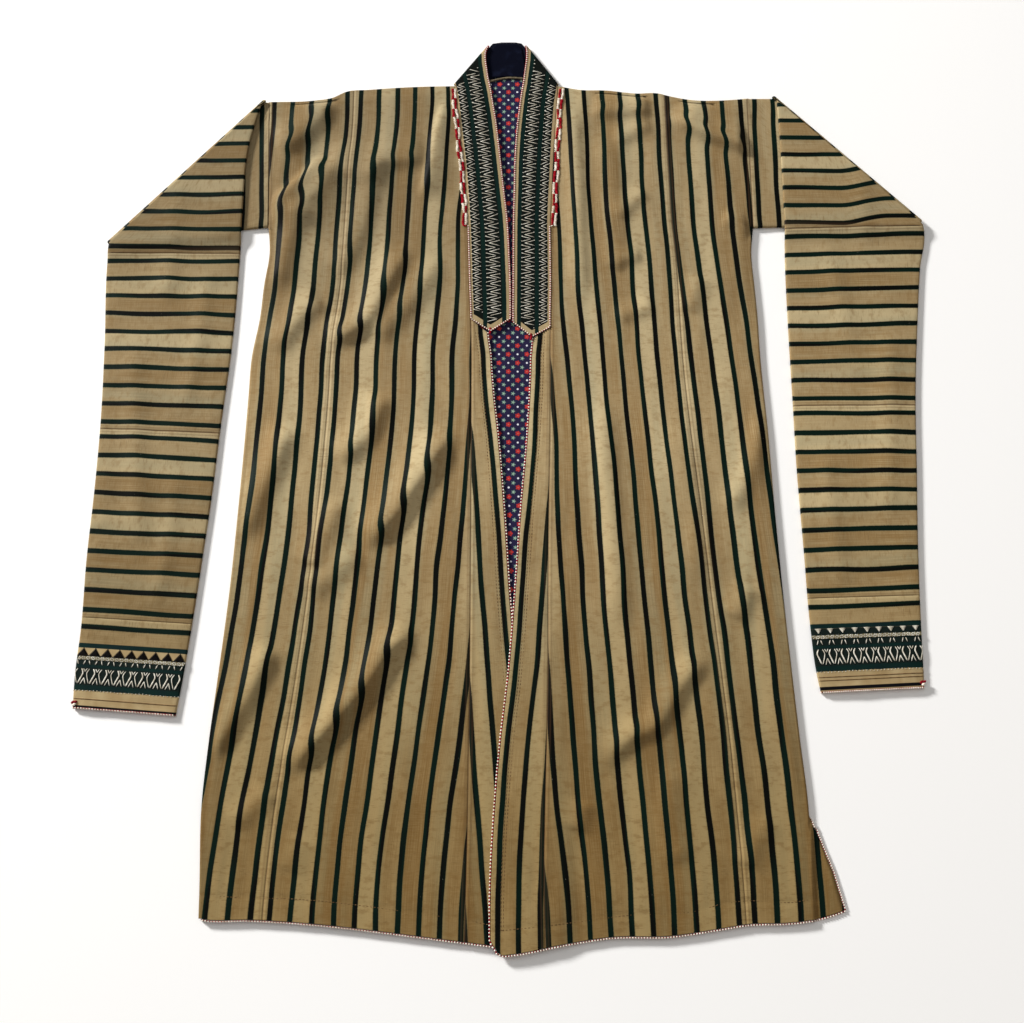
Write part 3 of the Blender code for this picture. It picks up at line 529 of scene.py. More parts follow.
class Surface:
    # a laid surface that trims are placed on: row position s and distance across, both in millimetres

    def __init__(self, grid, along=None, across=None):
        self.grid = np.array(grid, float)
        rows, columns = self.grid.shape[:2]
        cells = np.nonzero(np.ones((rows - 1, columns - 1), bool))
        self.normals = gridNormals(self.grid, cells)
        if self.normals[..., 2].mean() < 0:
            self.normals = -self.normals
        middle = self.grid[:, columns // 2]
        lengths = np.linalg.norm(np.diff(middle, axis=0), axis=1)
        self.along = np.concatenate(([0], np.cumsum(lengths))) if along is None else np.array(along, float)
        if across is None:
            steps = np.linalg.norm(np.diff(self.grid, axis=1), axis=2)
            across = np.concatenate((np.zeros((rows, 1)), np.cumsum(steps, axis=1)), axis=1)
        self.across = np.array(across, float)

    def width(self, s):
        return float(np.interp(s, self.along, self.across[:, -1]))

    def at(self, s, across, lift=0.0):
        # points over the surface, and which way is up there
        s, across = np.broadcast_arrays(np.atleast_1d(np.asarray(s, float)), np.asarray(across, float))
        rows, columns = self.grid.shape[:2]
        row = np.interp(s, self.along, np.arange(rows))
        i = np.clip(row.astype(int), 0, rows - 2)
        t = (row - i)[:, None]
        widths = self.across[i] * (1 - t) + self.across[i + 1] * t
        j = np.clip((widths <= across[:, None]).sum(1) - 1, 0, columns - 2)
        pick = np.arange(len(s))
        u = ((across - widths[pick, j]) / (widths[pick, j + 1] - widths[pick, j]))[:, None]
        found = []
        for values in (self.grid, self.normals):
            near = values[i, j] * (1 - u) + values[i, j + 1] * u
            far = values[i + 1, j] * (1 - u) + values[i + 1, j + 1] * u
            found.append(near * (1 - t) + far * t)
        return found[0] + np.asarray(lift) * found[1], found[1]


def drawn(surface, points, lift, pitch=1.6):
    # a line on a surface through (along, across) points
    points = np.array(points, float)
    lengths = np.concatenate(([0], np.cumsum(np.linalg.norm(np.diff(points, axis=0), axis=1))))
    stations = np.linspace(0, lengths[-1], max(int(lengths[-1] / pitch), len(points)) + 1)
    s, across = (np.interp(stations, lengths, points[:, k]) for k in range(2))
    return surface.at(s, across, lift)


def threads(name, paths, radius, materials, choice=None, squash=0.75, sides=5):
    # raised threads along paths, joined into one mesh
    points, faces, uses, base = [], [], [], 0
    angles = np.arange(sides) * 2 * math.pi / sides
    ring = np.arange(sides)
    for number, (path, up) in enumerate(paths):
        path, up = np.array(path, float), np.array(up, float)
        tangents = np.gradient(path, axis=0)
        tangents /= np.maximum(np.linalg.norm(tangents, axis=1, keepdims=True), 1e-9)
        side = np.cross(tangents, up)
        side /= np.maximum(np.linalg.norm(side, axis=1, keepdims=True), 1e-9)
        above = np.cross(side, tangents)
        count = len(path)
        thick = np.full(count, radius[number] if isinstance(radius, list) else radius)
        thick[0], thick[-1] = thick[0] * 0.6, thick[-1] * 0.6
        offsets = (np.cos(angles)[None, :, None] * side[:, None, :]
                   + squash * np.sin(angles)[None, :, None] * above[:, None, :])
        points.append((path[:, None, :] + thick[:, None, None] * offsets).reshape(-1, 3))
        k = np.repeat(np.arange(count - 1), sides) * sides + base
        n = np.tile(ring, count - 1)
        m = (n + 1) % sides
        faces += np.stack((k + n, k + m, k + sides + m, k + sides + n), 1).tolist()
        faces.append((base + ring[::-1]).tolist())
        faces.append((base + (count - 1) * sides + ring).tolist())
        uses += [choice[number] if choice else 0] * ((count - 1) * sides + 2)
        base += count * sides
    return makeMesh(name, np.vstack(points), faces, materials, faceMaterials=uses)


def beadForm(around=6, rings=3):
    points = [(-1.0, 0.0, 0.0)]
    for ring in range(1, rings + 1):
        turn = math.pi * ring / (rings + 1)
        for k in range(around):
            angle = 2 * math.pi * k / around
            points.append((-math.cos(turn), math.sin(turn) * math.cos(angle),
                           math.sin(turn) * math.sin(angle)))
    points.append((1.0, 0.0, 0.0))
    faces = [(0, 1 + (k + 1) % around, 1 + k) for k in range(around)]
    for ring in range(rings - 1):
        for k in range(around):
            a, b = 1 + ring * around + k, 1 + ring * around + (k + 1) % around
            faces.append((a, b, b + around, a + around))
    last = len(points) - 1
    faces += [(last, last - around + k, last - around + (k + 1) % around) for k in range(around)]
    return np.array(points), faces


def stitches(name, spots, materials, form=beadForm()):
    # one small rounded stitch at each spot: (centre, direction, up, half sizes, material number)
    shape, shapeFaces = form
    points, faces, uses = [], [], []
    for centre, direction, up, (a, b, c), number in spots:
        direction = np.array(direction, float) / max(np.linalg.norm(direction), 1e-9)
        up = np.array(up, float)
        side = np.cross(up, direction)
        side /= max(np.linalg.norm(side), 1e-9)
        up = np.cross(direction, side)
        base = len(points) * len(shape)
        points.append(np.array(centre) + shape[:, :1] * a * direction + shape[:, 1:2] * b * side
                      + shape[:, 2:3] * c * up)
        faces += [tuple(base + v for v in face) for face in shapeFaces]
        uses += [number] * len(shapeFaces)
    return makeMesh(name, np.vstack(points), faces, materials, faceMaterials=uses)


# The body's outlines and folds

left = table(
    "y      seam  side   roll  inner  edge   first pitch",
    (590,   -210, -322,  0,    -75.5, 0,     9.5,  24.2),
    (540,   -210, -320,  0,    -71.0, 0,     9.5,  24.2),
    (450,   -214, -317,  0,    -61.5, 0,     9.2,  23.9),
    (385,   -216, -315,  3,    -57.5, 0,     9.0,  23.5),
    (345,   -217, -312,  14,   -56.0, 0,     9.0,  23.4),
    (300,   -219, -317,  16,   -54.5, 0,     9.0,  23.5),
    (256,   -223, -320,  18,   -52.5, -26.6, 9.0,  23.7),
    (200,   -228, -328,  18,   -51.0, -25.0, 9.0,  24.0),
    (150,   -229, -329.5, 19,  -50.7, -21.4, 9.0,  24.1),
    (100,   -231, -331,  20,   -50.5, -15.9, 9.0,  24.1),
    (0,     -237, -335,  20,   -50.0, -7.7,  8.0,  24.1),
    (-98,   -245, -340,  22,   -50.0, -1.5,  8.0,  24.1),
    (-200,  -255, -348,  25,   -50.0, 6.5,   8.0,  24.2),
    (-283,  -265, -355,  28,   -50.5, 13,    8.0,  24.2),
    (-350,  -273, -359,  32,   -51.0, 19,    8.0,  24.1),
    (-450,  -281, -356,  41,   -52.5, 27,    8.0,  24.0),
    (-530,  -284, -354,  46,   -54.5, 33,    8.0,  24.0))
right = table(
    "y      seam  side   roll  inner  edge   first pitch",
    (590,   202,  312,   0,    61.0,  0,     11.0, 24.6),
    (540,   203,  312,   0,    57.5,  0,     11.0, 24.6),
    (450,   205,  312,   0,    52.5,  0,     10.5, 24.4),
    (385,   207,  312,   3,    49.5,  0,     10.0, 24.0),
    (345,   210,  308,   16,   49.8,  0,     10.0, 24.0),
    (300,   212,  310,   18,   49.8,  0,     10.0, 23.8),
    (256,   213,  312,   19,   49.0,  22.2,  9.6,  23.4),
    (200,   215,  313,   20,   48.2,  22.4,  9.2,  22.9),
    (100,   222,  318,   22,   47.5,  17.6,  9.0,  22.8),
    (0,     231,  321.5, 24,   45.0,  9.2,   8.0,  23.8),
    (-98,   239,  326,   26,   43.5,  2.4,   7.5,  24.4),
    (-200,  248,  332,   30,   42.5,  -5.8,  7.0,  24.9),
    (-283,  255,  337.5, 32,   40.5,  -15.5, 7.0,  25.2),
    (-350,  259,  342.5, 14,   38.5,  -21.3, 7.0,  25.0),
    (-450,  264,  341,   0,    36.5,  -26.5, 7.5,  24.3),
    (-530,  266,  340,   0,    38.0,  -26.5, 8.0,  24.0))
besideCollar = {  # how far the stripes next to the collar are drawn away from it
    -1: table("y by", (305, 0), (340, 2), (380, 4.5), (448, 3), (506, 5), (590, 7)),
    1: table("y by", (225, 0), (256, 1), (300, 4), (345, 7), (385, 8), (450, 7.4), (560, 6), (590, 5)),
}
sideStripes = {  # first stripe from the seam and pitch, on the side strips
    -1: table("y first pitch", (560, 8, 24.0), (350, 10, 24.1), (100, 10, 24.7), (0, 9, 24.8),
              (-490, 13, 25.7)),
    1: table("y first pitch", (560, 3, 24.4), (350, 3, 25.0), (150, 11, 25.4), (0, 9, 26.0), (-300, 9, 26.4),
             (-490, 10, 25.6)),
}
slit = table(
    "y      turn  out",
    (-342,  1,    16),
    (-356,  1,    2),
    (-364,  .5,   .6),
    (-376,  .1,   5),
    (-390,  0,    9),
    (-438,  0,    26),
    (-487,  0,    38))
shoulderLine = table(
    "x      y",
    (-350,  563), (-322, 564.5), (-262, 567), (-236, 572), (-222, 579.5), (-190, 583), (-110, 588),
                     (-77, 588.5),
    (63,    588), (90,   583),   (125, 582),  (165, 577.5), (195, 577.5), (209, 573.5), (224, 570),
                     (350, 572))
hemLeft = table(
    "x      y",
    (-358,  -482), (-348, -484), (-300, -484.5), (-203, -491), (-150, -497), (-60, -508), (-26, -512),
                (40, -518))
hemRight = table(
    "x      y",
    (-30,   -517), (-24,  -520), (-12,  -523), (0, -522), (60, -511), (110, -503.5), (180, -502), (230, -495),
    (270,   -489), (310,  -488), (343,  -484), (366, -478), (383, -472))
backSeamAtHem = {-1: -237.0, 1: 231.0}
centreBack = -4.0
underarm = 0.824
goreTop = 0.68
slitTop = 0.13
corner = (7.0, 0.8)

# folds of the laid fronts: the crest's points, its width towards the light and away from it, its height,
# and how far the stripes jump across it
foldLines = (
    (((-236, 571), (-261, 532), (-283, 509), (-310, 490)), 26, 15, 6.0, 3),
    (((-244, 484), (-268, 451), (-297, 423), (-333, 394)), 8, 28, 8.0, 4),
    (((-213, 518), (-233, 456), (-257, 420), (-295, 384)), 14, 32, 4.5, 1),
    (((-86, 569), (-99, 518), (-107, 464), (-116, 417)), 5, 20, 4.5, 2),
    (((-108, 481), (-144, 477), (-176, 470), (-193, 434)), 28, 11, 4.0, 1),
    (((-169, 498), (-187, 412), (-207, 346), (-231, 314)), 22, 14, 4.0, 1),
    (((-131, 360), (-162, 295), (-190, 245), (-240, 216)), 24, 12, 7.0, 2),
    (((-92, 346), (-120, 290), (-151, 253), (-177, 219)), 22, 16, 4.5, 1),
    (((-267, 412), (-287, 363), (-301, 287)), 18, 16, 4.0, 1),
    (((-237, 279), (-270, 253), (-302, 203)), 20, 14, 4.5, 1),
    (((-156, 157), (-181, 96), (-220, 61)), 22, 13, 5.0, 1),
    (((-72, 108), (-106, 51), (-145, -8), (-182, -49)), 26, 12, 7.5, 2),
    (((-182, -49), (-215, -78), (-247, -106)), 18, 16, 3.5, 0),
    (((-209, 21), (-231, -39), (-241, -75)), 16, 14, 3.5, 0),
    (((-272, 116), (-293, 63), (-312, 12), (-327, -42)), 22, 15, 5.5, 1),
    (((-112, -146), (-146, -174), (-177, -220), (-230, -282), (-267, -321)), 22, 11, 8.0, 2),
    (((-281, -164), (-300, -202), (-329, -259), (-357, -303)), 20, 13, 5.5, 1),
    (((-278, -334), (-299, -356), (-325, -378)), 14, 14, 2.5, 0),
    (((-240, -387), (-256, -431)), 16, 16, 1.5, 0),
    (((323, 487), (289, 502), (251, 517), (202, 545)), 28, 9, 7.5, 3),
    (((187, 552), (146, 549), (100, 549)), 22, 10, 4.0, 1),
    (((186, 531), (158, 517), (135, 501)), 16, 10, 2.5, 0),
    (((79, 575), (83, 478), (85, 368), (89, 261)), 14, 12, 4.0, 0),
    (((121, 521), (128, 423), (131, 314)), 14, 16, 2.5, 0),
    (((176, 434), (153, 412), (135, 390)), 14, 9, 2.5, 0),
    (((169, 341), (141, 333), (129, 319)), 14, 8, 2.5, 0),
    (((182, 271), (159, 263), (128, 253)), 14, 10, 2.5, 0),
    (((272, 395), (294, 386), (312, 368)), 10, 12, 3.0, 0),
    (((242, 314), (231, 282), (220, 261)), 12, 14, 2.5, 0),
    (((111, 158), (117, 54), (124, -59), (128, -158)), 16, 15, 3.5, 0),
    (((205, 124), (219, 8), (228, -104)), 20, 16, 2.0, 0),
    (((322, 136), (293, 54), (265, -5)), 14, 14, 3.5, 0),
    (((289, -93), (263, -137)), 16, 14, 3.5, 0),
    (((240, -176), (203, -209), (169, -261), (137, -277), (98, -317)), 18, 11, 5.0, 1),
    (((85, -349), (73, -385)), 14, 12, 2.5, 0),
    (((190, -301), (182, -375), (194, -426)), 18, 18, 2.5, 0),
    (((299, -364), (276, -401), (265, -426)), 14, 14, 2.5, 0),
)
foldStrength = 1.42
hemStitching = {  # the line of stitches above each hem
    -1: table("x y", (-360, -454), (-300, -458), (-250, -459), (-200, -463), (-150, -469), (-100, -476),
              (-50, -482),
              (-28, -487), (40, -492)),
    1: table("x y", (-30, -494), (-8, -493), (60, -486), (100, -481), (130, -477), (190, -474.5), (210, -472),
             (240, -464), (260, -461.5), (330, -461), (345, -457), (356, -448), (380, -440)),
}
frontStitching = (14.2, 17.0)  # the two stitched lines beside each front edge


def hemAt(x, side):
    return curve(hemLeft if side is left else hemRight, "y", x, "x") + edgingInset


def shoulderAt(x):
    return curve(shoulderLine, "y", x, "x") - foldReach


def placeRow(xOfY, height, side):
    x = xOfY(blend(-500, 585, height))
    for _ in range(3):
        y = blend(hemAt(x, side), shoulderAt(x), height)
        x = xOfY(y)
    return x, y


def crestLine(points):
    steps = table("t x y", *((i, *point) for i, point in enumerate(points)))
    at = np.linspace(0, len(points) - 1, 6 * (len(points) - 1) + 1)
    return np.stack((curve(steps, "x", at, "t"), curve(steps, "y", at, "t")), 1)


foldCrests = [(crestLine(points), *rest) for points, *rest in foldLines]


def awayFrom(crest, x, y):
    # signed distance from a crest, positive towards the light, and the share of its length
    a, d = crest[:-1, :, None], np.diff(crest, axis=0)[:, :, None]
    spot = np.stack((x, y))[None]
    t = np.clip(((spot - a) * d).sum(1) / (d * d).sum(1), 0, 1)
    gap = spot - a - d * t[:, None]
    far = np.hypot(gap[:, 0], gap[:, 1])
    best = far.argmin(0)
    pick = np.arange(len(x))
    turn = gap[best, 0, pick] * d[best, 1, 0] - gap[best, 1, pick] * d[best, 0, 0]
    return far[best, pick] * np.sign(turn), (best + t[best, pick]) / (len(crest) - 1)


def foldField(x, y):
    # height of the folds, and how far they pull the stripes aside
    x, y = np.broadcast_arrays(np.asarray(x, float), np.asarray(y, float))
    shape = x.shape
    x, y = x.ravel(), y.ravel()
    edge = np.where(x < 0, curve(left, "side", y), curve(right, "side", y))
    hem = np.where(x < 0, hemAt(x, left), hemAt(x, right))
    room = smooth((abs(edge) - abs(x) - 2) / 14) * smooth((shoulderAt(x) - y) / 13) * smooth((y - hem) / 50)
    rise, jump = np.zeros_like(x), np.zeros_like(x)
    for crest, towards, away, height, tuck in foldCrests:
        low, high = crest.min(0) - 75, crest.max(0) + 75
        near = (x > low[0]) & (x < high[0]) & (y > low[1]) & (y < high[1])
        if not near.any():
            continue
        off, along = awayFrom(crest, x[near], y[near])
        ends = smooth(along / .2) * smooth((1 - along) / .2)
        rise[near] += height * np.exp(-(off / np.where(off > 0, towards, away)) ** 2) * ends
        jump[near] += tuck * off / 6 * np.exp(-(off / 10) ** 2) * ends
    wrinkles = 0.6 * softNoise(x + y * .25, y, 26, 150, 1) + 0.35 * softNoise(x - y * .1, y, 11, 60, 2)
    wrinkles += 0.4 * softNoise(x, y, 70, 45, 3) + 0.12 * softNoise(x + y * .4, y, 7, 22, 7)
    return ((rise * foldStrength + 0.9 + wrinkles) * room).reshape(shape), (jump * room).reshape(shape)


def foldRise(x, y):
    return foldField(x, y)[0]


def stitchedDip(x, y, side):
    # the cloth is drawn down along the hem's stitching and the two lines beside the front edge
    sign = -1 if side is left else 1
    hemGap = y - curve(hemStitching[sign], "y", x, "x")
    dip = 0.7 * np.exp(-(hemGap / 1.8) ** 2) * (1 + 0.5 * softNoise(x, y, 7, 40, 13))
    edgeGap = abs(x - curve(side, "edge", y))
    inGore = abs(edgeGap) < 24
    for line in frontStitching:
        dip += np.where(inGore, 0.35 * np.exp(-((edgeGap - line) / 0.9) ** 2), 0.0)
    return dip


def lapRise(x, y):
    return level["lap"] * smooth((-70 - y) / 38) * smooth((78 - x) / 30)


def frontHeight(x, y, side):
    return level["front"] + foldRise(x, y) + (lapRise(x, y) if side is right else 0.0)


def columnLine(side, column, inset=0.0):
    return lambda y: curve(side, column, y) + inset


def seamDip(distance, y, seed=1):
    # the cloth sinks to the seam, swells over the allowance and puckers beside it
    pucker = 0.30 * softNoise(distance * 0.3, y, 9, 8, seed) * np.exp(-(distance / 7) ** 2)
    return -0.55 * np.exp(-(distance / 1.1) ** 2) + 0.16 * np.exp(-((distance - 3.2) / 2.0) ** 2) + pucker


def seamShade(distance):
    return np.exp(-(distance / 1.0) ** 2) + 0.5 * np.exp(-((distance - 3.6) / 0.8) ** 2)


def rowLevels():
    fine = np.arange(0, 1.0001, 1 / 290)
    extra = np.array([.0008, .0018, .003, .9965, .9985, underarm])
    return np.unique(np.round(np.concatenate((fine, extra)), 5))


levels = rowLevels()
backLevels = np.array([1, .97, .94, .90, .86, underarm, .78, .73, .687, .64, .595, .55, .504, .458, .412,
                       .366, .32,
                       .275, .229, .183, .16, .137, .13, .1238, .1163, .105, .0917, .07, .046, .02, 0])
sleeveSpecs = {
    "Left": dict(sign=-1, crease=((-327.5, 562.5), (-517.3, 358.0)), armhole=((-322, 564.5), (-315, 382)),
                 underarmEnd=(-519, 356), joins=((344, 344), (100, 106), (-141, -133)), end=(-249.3, -240.3)),
    "Right": dict(sign=1, crease=((346.5, 568.0), (526.5, 388.0)), armhole=((312, 570), (312, 381)),
                  underarmEnd=(529, 389), joins=((377, 382), (136, 137), (-110, -106)), end=(-222.3, -216.3)),
}


def armholeLine(sign, inset):
    (xTop, yTop), (xLow, yLow) = sleeveSpecs["Left" if sign < 0 else "Right"]["armhole"]
    return lambda y: blend(xLow, xTop, (y - yLow) / (yTop - yLow)) + inset


def backSeam(side, sign):
    top = curve(side, "seam", 580)
    return lambda y: blend(top, backSeamAtHem[sign], (580 - y) / 1070)


def frontPart(x, y, side, fromSeam, first, pitch, seams):
    # height, map and seam shade of the laid front; seams gives the distance to each seam and a seed
    rise, jump = foldField(x, y)
    z = level["front"] + rise + (lapRise(x, y) if side is right else 0.0) - stitchedDip(x, y, side)
    shade = np.zeros_like(x)
    for distance, seed in seams:
        z = z + seamDip(distance, y, seed)
        shade = np.maximum(shade, seamShade(distance))
    pull = 1.2 * softNoise(x, y, 55, 95, 6) + 0.6 * softNoise(x, y, 20, 40, 8)
    mapX = (fromSeam - first + pull + jump) / pitch * stripePitch
    return z, np.stack((mapX, y / 1000), 2), shade


def shoulderRows(top, steps=8):
    rows = []
    for k in range(1, steps):
        turn = math.pi * k / steps
        radius = (top[:, 2] - level["back"]) / 2
        row = top.copy()
        row[:, 1] += foldRadius * math.sin(turn)
        row[:, 2] = level["back"] + radius * (1 + math.cos(turn))
        rows.append(row)
    return rows


def overShoulder(grid, uv, shade):
    # adds the turn over the shoulder to the front's rows
    rows = shoulderRows(grid[-1])
    return (np.concatenate((grid, rows)), np.concatenate((uv, np.repeat(uv[-1:], len(rows), axis=0))),
            np.concatenate((shade, np.repeat(shade[-1:], len(rows), axis=0))))


def centreStrip(name, side, sign):
    # front hem, over the shoulder, back hem; the back part reaches the centre-back seam
    shares = spacing(0, 160, 3.7)
    across, neck = len(shares) - 1, 4
    xSeam, ySeam = placeRow(columnLine(side, "seam", -sign * wall["seam"]), levels, side)
    xInner, yInner = placeRow(columnLine(side, "inner", sign * wall["seam"]), levels, side)
    x = blend(xSeam[:, None], xInner[:, None], shares[None, :])
    y = blend(hemAt(x, side), shoulderAt(x), levels[:, None])
    fromSeam, fromInner = abs(x - xSeam[:, None]), abs(x - xInner[:, None])
    drawnAway = curve(besideCollar[sign], "by", y) * np.exp(-(fromInner / 38) ** 2)
    z, uv, shade = frontPart(x, y, side, fromSeam + drawnAway, curve(side, "first", y),
                             curve(side, "pitch", y),
                             ((fromSeam, 1), (fromInner, 2)))
    front = np.stack((x, y, z), 2)
    grid, uv, shade = overShoulder(front, uv, shade)
    frontRows = len(grid)
    base = backSeam(side, sign)(blend(-500, 585, backLevels)) - sign * wall["seam"]
    top = grid[-1][:, 0]
    xBack = top[None, :] + (base - top[0])[:, None] * (1 - 0.5 * shares[None, :])
    yBack = blend(hemAt(xBack, side), shoulderAt(xBack), backLevels[:, None])
    neckX = blend(xBack[:, -1][:, None], centreBack + sign * wall["seam"],
                  np.arange(1, neck + 1)[None, :] / neck)
    neckY = blend(hemAt(neckX, side), curve(neckSeam, "y", neckX, "x") - 2 * wall["seam"],
                  backLevels[:, None])
    xBack, yBack = np.hstack((xBack, neckX)), np.hstack((yBack, neckY))
    fromBack = abs(xBack - xBack[:, :1])
    grid, uv, shade = (np.concatenate((part, np.repeat(part[:, -1:], neck, axis=1)), axis=1)
                       for part in (grid, uv, shade))
    grid = np.concatenate((grid, np.stack((xBack, yBack, np.full_like(xBack, level["back"])), 2)))
    uv = np.concatenate((uv, np.stack(((fromBack - 9) / 24.2 * stripePitch, (1180 - yBack) / 1000), 2)))
    shade = np.concatenate((shade, seamShade(fromBack)))
    present = np.ones((len(grid) - 1, grid.shape[1] - 1), bool)
    present[:frontRows, across:] = False
    return clothSheet(name, grid, uv, wall["cloth"], "striped", present, {"seam": shade}), front


def sideFold(side, sign, height):
    return placeRow(columnLine(side, "side", -sign * foldReach), height, side)


def sideSeam(side, sign, height):
    x, y = sideFold(side, sign, backLevels)
    ends = x - sign * np.maximum(curve(side, "roll", y), 1.5)
    return np.interp(height, backLevels[::-1], ends[::-1])


def sideRows(side, sign, shares, bends=6, under=8):
    # rows of the front: flat cloth, the turn at the side, and the cloth beyond the turn
    start = placeRow(columnLine(side, "seam", sign * wall["seam"]), levels, side)[0]
    above = levels > underarm
    edge = np.where(above, placeRow(armholeLine(sign, -sign * wall["seam"]), levels, side)[0],
                    sideFold(side, sign, levels)[0])
    x = blend(start[:, None], edge[:, None], shares[None, :])
    y = blend(hemAt(x, side), shoulderAt(x), levels[:, None])
    fromSeam = abs(x - start[:, None])
    armholeGap = np.where(above[:, None], abs(x - edge[:, None]), 99.0)
    stripes = sideStripes[sign]
    z, uv, shade = frontPart(x, y, side, fromSeam, curve(stripes, "first", y), curve(stripes, "pitch", y),
                             ((fromSeam, 1), (armholeGap, 3)))
    xEdge, yEdge, zEdge, last = x[:, -1], y[:, -1], z[:, -1], fromSeam[:, -1]
    isOpen = (levels < slitTop) & (side is right)
    turn = np.where(isOpen, np.interp(-yEdge, -slit["y"], slit["turn"]), 1.0)
    flat = turn <= 0.05
    reach = np.where(isOpen, np.interp(-yEdge, -slit["y"], slit["out"]),
                     np.maximum(abs(xEdge - sideSeam(side, sign, levels)), 1.2))
    radius = (zEdge - level["back"]) / 2
    more, lengths = [], []
    for k in range(1, bends + 1):
        angle = math.pi * turn * k / bends
        arc = np.where(flat, 1.5 * k / bends, np.sin(angle))
        more.append(np.stack((xEdge + sign * foldRadius * arc, yEdge, zEdge - radius * (1 - np.cos(angle))),
                             1))
        lengths.append(last + foldRadius * np.where(flat, arc, angle))
    angle, begin, bendLength = math.pi * turn, more[-1], lengths[-1]
    for share in (np.arange(1, under + 1) / under) ** 1.3:
        length = reach * share
        fall = np.where(flat, (zEdge - level["back"]) * smooth(length / 6), length * np.sin(angle))
        xEnd = begin[:, 0] + sign * length * np.cos(angle)
        yEnd = np.where(isOpen, blend(hemAt(xEnd, side), shoulderAt(xEnd), levels), yEdge)
        more.append(np.stack((xEnd, yEnd, begin[:, 2] - fall), 1))
        lengths.append(bendLength + length)
    grid = np.concatenate((np.stack((x, y, z), 2), np.stack(more, 1)), axis=1)
    grid[..., 2] = np.maximum(grid[..., 2], level["back"])
    beyond = np.stack(lengths, 1)
    first, pitch = (curve(stripes, key, yEdge)[:, None] for key in ("first", "pitch"))
    beyondMap = uv[:, -1:, 0] + (beyond - last[:, None]) / pitch * stripePitch
    uv = np.concatenate((uv, np.stack((beyondMap, np.repeat(uv[:, -1:, 1], beyond.shape[1], axis=1)), 2)),
                        axis=1)
    shade = np.concatenate((shade, np.zeros_like(beyond)), axis=1)
    return grid, uv, shade


def sideStrip(name, side, sign):
    shares = spacing(0, 100, 3.6)
    across = len(shares) - 1
    front, uv, shade = sideRows(side, sign, shares)
    frontRows = int(np.searchsorted(levels, underarm))
    grid, uv, shade = overShoulder(front, uv, shade)
    start = backSeam(side, sign)(blend(-500, 585, backLevels)) + sign * wall["seam"]
    ends = []
    for height in backLevels:
        if height > underarm:
            ends.append(float(placeRow(armholeLine(sign, -sign * wall["seam"]), height, side)[0]))
        elif side is right and height < slitTop:
            reach = float(sideFold(side, sign, height)[0]) - 2.6
            ends.append(min(reach, np.interp(height, levels, front[:, -1, 0]) - 0.3))
        else:
            ends.append(float(sideSeam(side, sign, height)) - sign * 0.3)
    xBack = blend(start[:, None], np.array(ends)[:, None], shares[None, :])
    yBack = blend(hemAt(xBack, side), shoulderAt(xBack), backLevels[:, None])
    hidden = np.repeat(grid[-1:, across + 1:], len(backLevels), axis=0)
    back = np.concatenate((np.stack((xBack, yBack, np.full_like(xBack, level["back"])), 2), hidden), axis=1)
    backMap = np.stack(((abs(xBack - xBack[:, :1]) - 9) / 24.4 * stripePitch, (1180 - yBack) / 1000), 2)
    grid = np.concatenate((grid, back))
    uv = np.concatenate((uv, np.concatenate((backMap, np.zeros(hidden.shape[:2] + (2,))), axis=1)))
    shade = np.concatenate((shade, np.hstack((seamShade(abs(xBack - xBack[:, :1])),
                                              np.zeros(hidden.shape[:2])))))
    present = np.ones((len(grid) - 1, grid.shape[1] - 1), bool)
    present[frontRows:, across:] = False
    return clothSheet(name, grid, uv, wall["cloth"], "striped", present, {"seam": shade}), front, across


def frontGore(name, side, sign):
    collar = collars[sign]
    heights = np.append(levels[levels < goreTop - .003], goreTop)
    shares = spacing(0, 60, 3.6)
    xInner, _ = placeRow(columnLine(side, "inner", -sign * wall["seam"]), heights, side)
    xEdge, _ = placeRow(columnLine(side, "edge", sign * edgingInset), heights, side)
    x = blend(xInner[:, None], xEdge[:, None], shares[None, :])
    y = blend(hemAt(x, side), shoulderAt(x), heights[:, None])
    # the top slopes along the collar's tip, and the rows below take the slope up little by little
    slope = blend(collar["tipSeam"], float(tipLine(sign, tipAt)), shares) - 0.8
    ease = smooth((heights[:, None] - goreTop + .06) / .06)
    y = blend(y, slope[None, :] + (heights[:, None] - goreTop) * 1060, ease)
    if side is right:
        x = x + corner[0] * smooth((14 - (y - hemAt(x, side))) / 14) * smooth((shares[None, :] - .72) / .28)
    fromInner, fromEdge = abs(x - xInner[:, None]), abs(x - xEdge[:, None]) + edgingInset
    z, uv, shade = frontPart(x, y, side, fromEdge, 11.0, 24.3, ((fromInner, 2),))
    grid = np.stack((x, y, z), 2)
    return clothSheet(name, grid, uv, wall["cloth"], "striped", None, {"seam": shade}), grid


# Collar

collarLeft = table(
    "y  f", (251, -0.8), (292, -1.0), (337, -2.4), (382, -4.5), (442, -10.6), (486, -15.1), (514, -18.0),
                   (543, -21.5),
    (566, -25.2), (586, -28.1), (600, -31.0), (612, -32.6), (630, -34.6), (640, -34.0), (648.2, -30.5))
collarRight = table(
    "y  f", (246, 0.2), (280, 0.3), (309, 0.4), (353, 0.6), (383, 0.9), (442, 2.2), (482, 3.0), (508, 4.6),
                    (536, 7.0),
    (554, 9.0), (574, 11.5), (591, 14.1), (611, 16.6), (633, 18.9), (641, 18.8), (648.3, 17.4))
collars = {
    -1: dict(side=left, free=collarLeft, tipSeam=252, tipFree=253, tip=17.5,
             fold=((-75.0, 589.5), (-30.5, 648.2))),
    1: dict(side=right, free=collarRight, tipSeam=241, tipFree=248.5, tip=17.2,
            fold=((59.5, 589.5), (17.4, 648.3))),
}
tipAt = 0.49
tipReach = 15.0  # how far up the band its pointed end still bends the rows
neckSeam = table("x  y", (-80, 589.0), (-75, 589.5), (-38, 598), (-7, 602), (24, 598), (59.5, 589.5),
                 (66, 589))
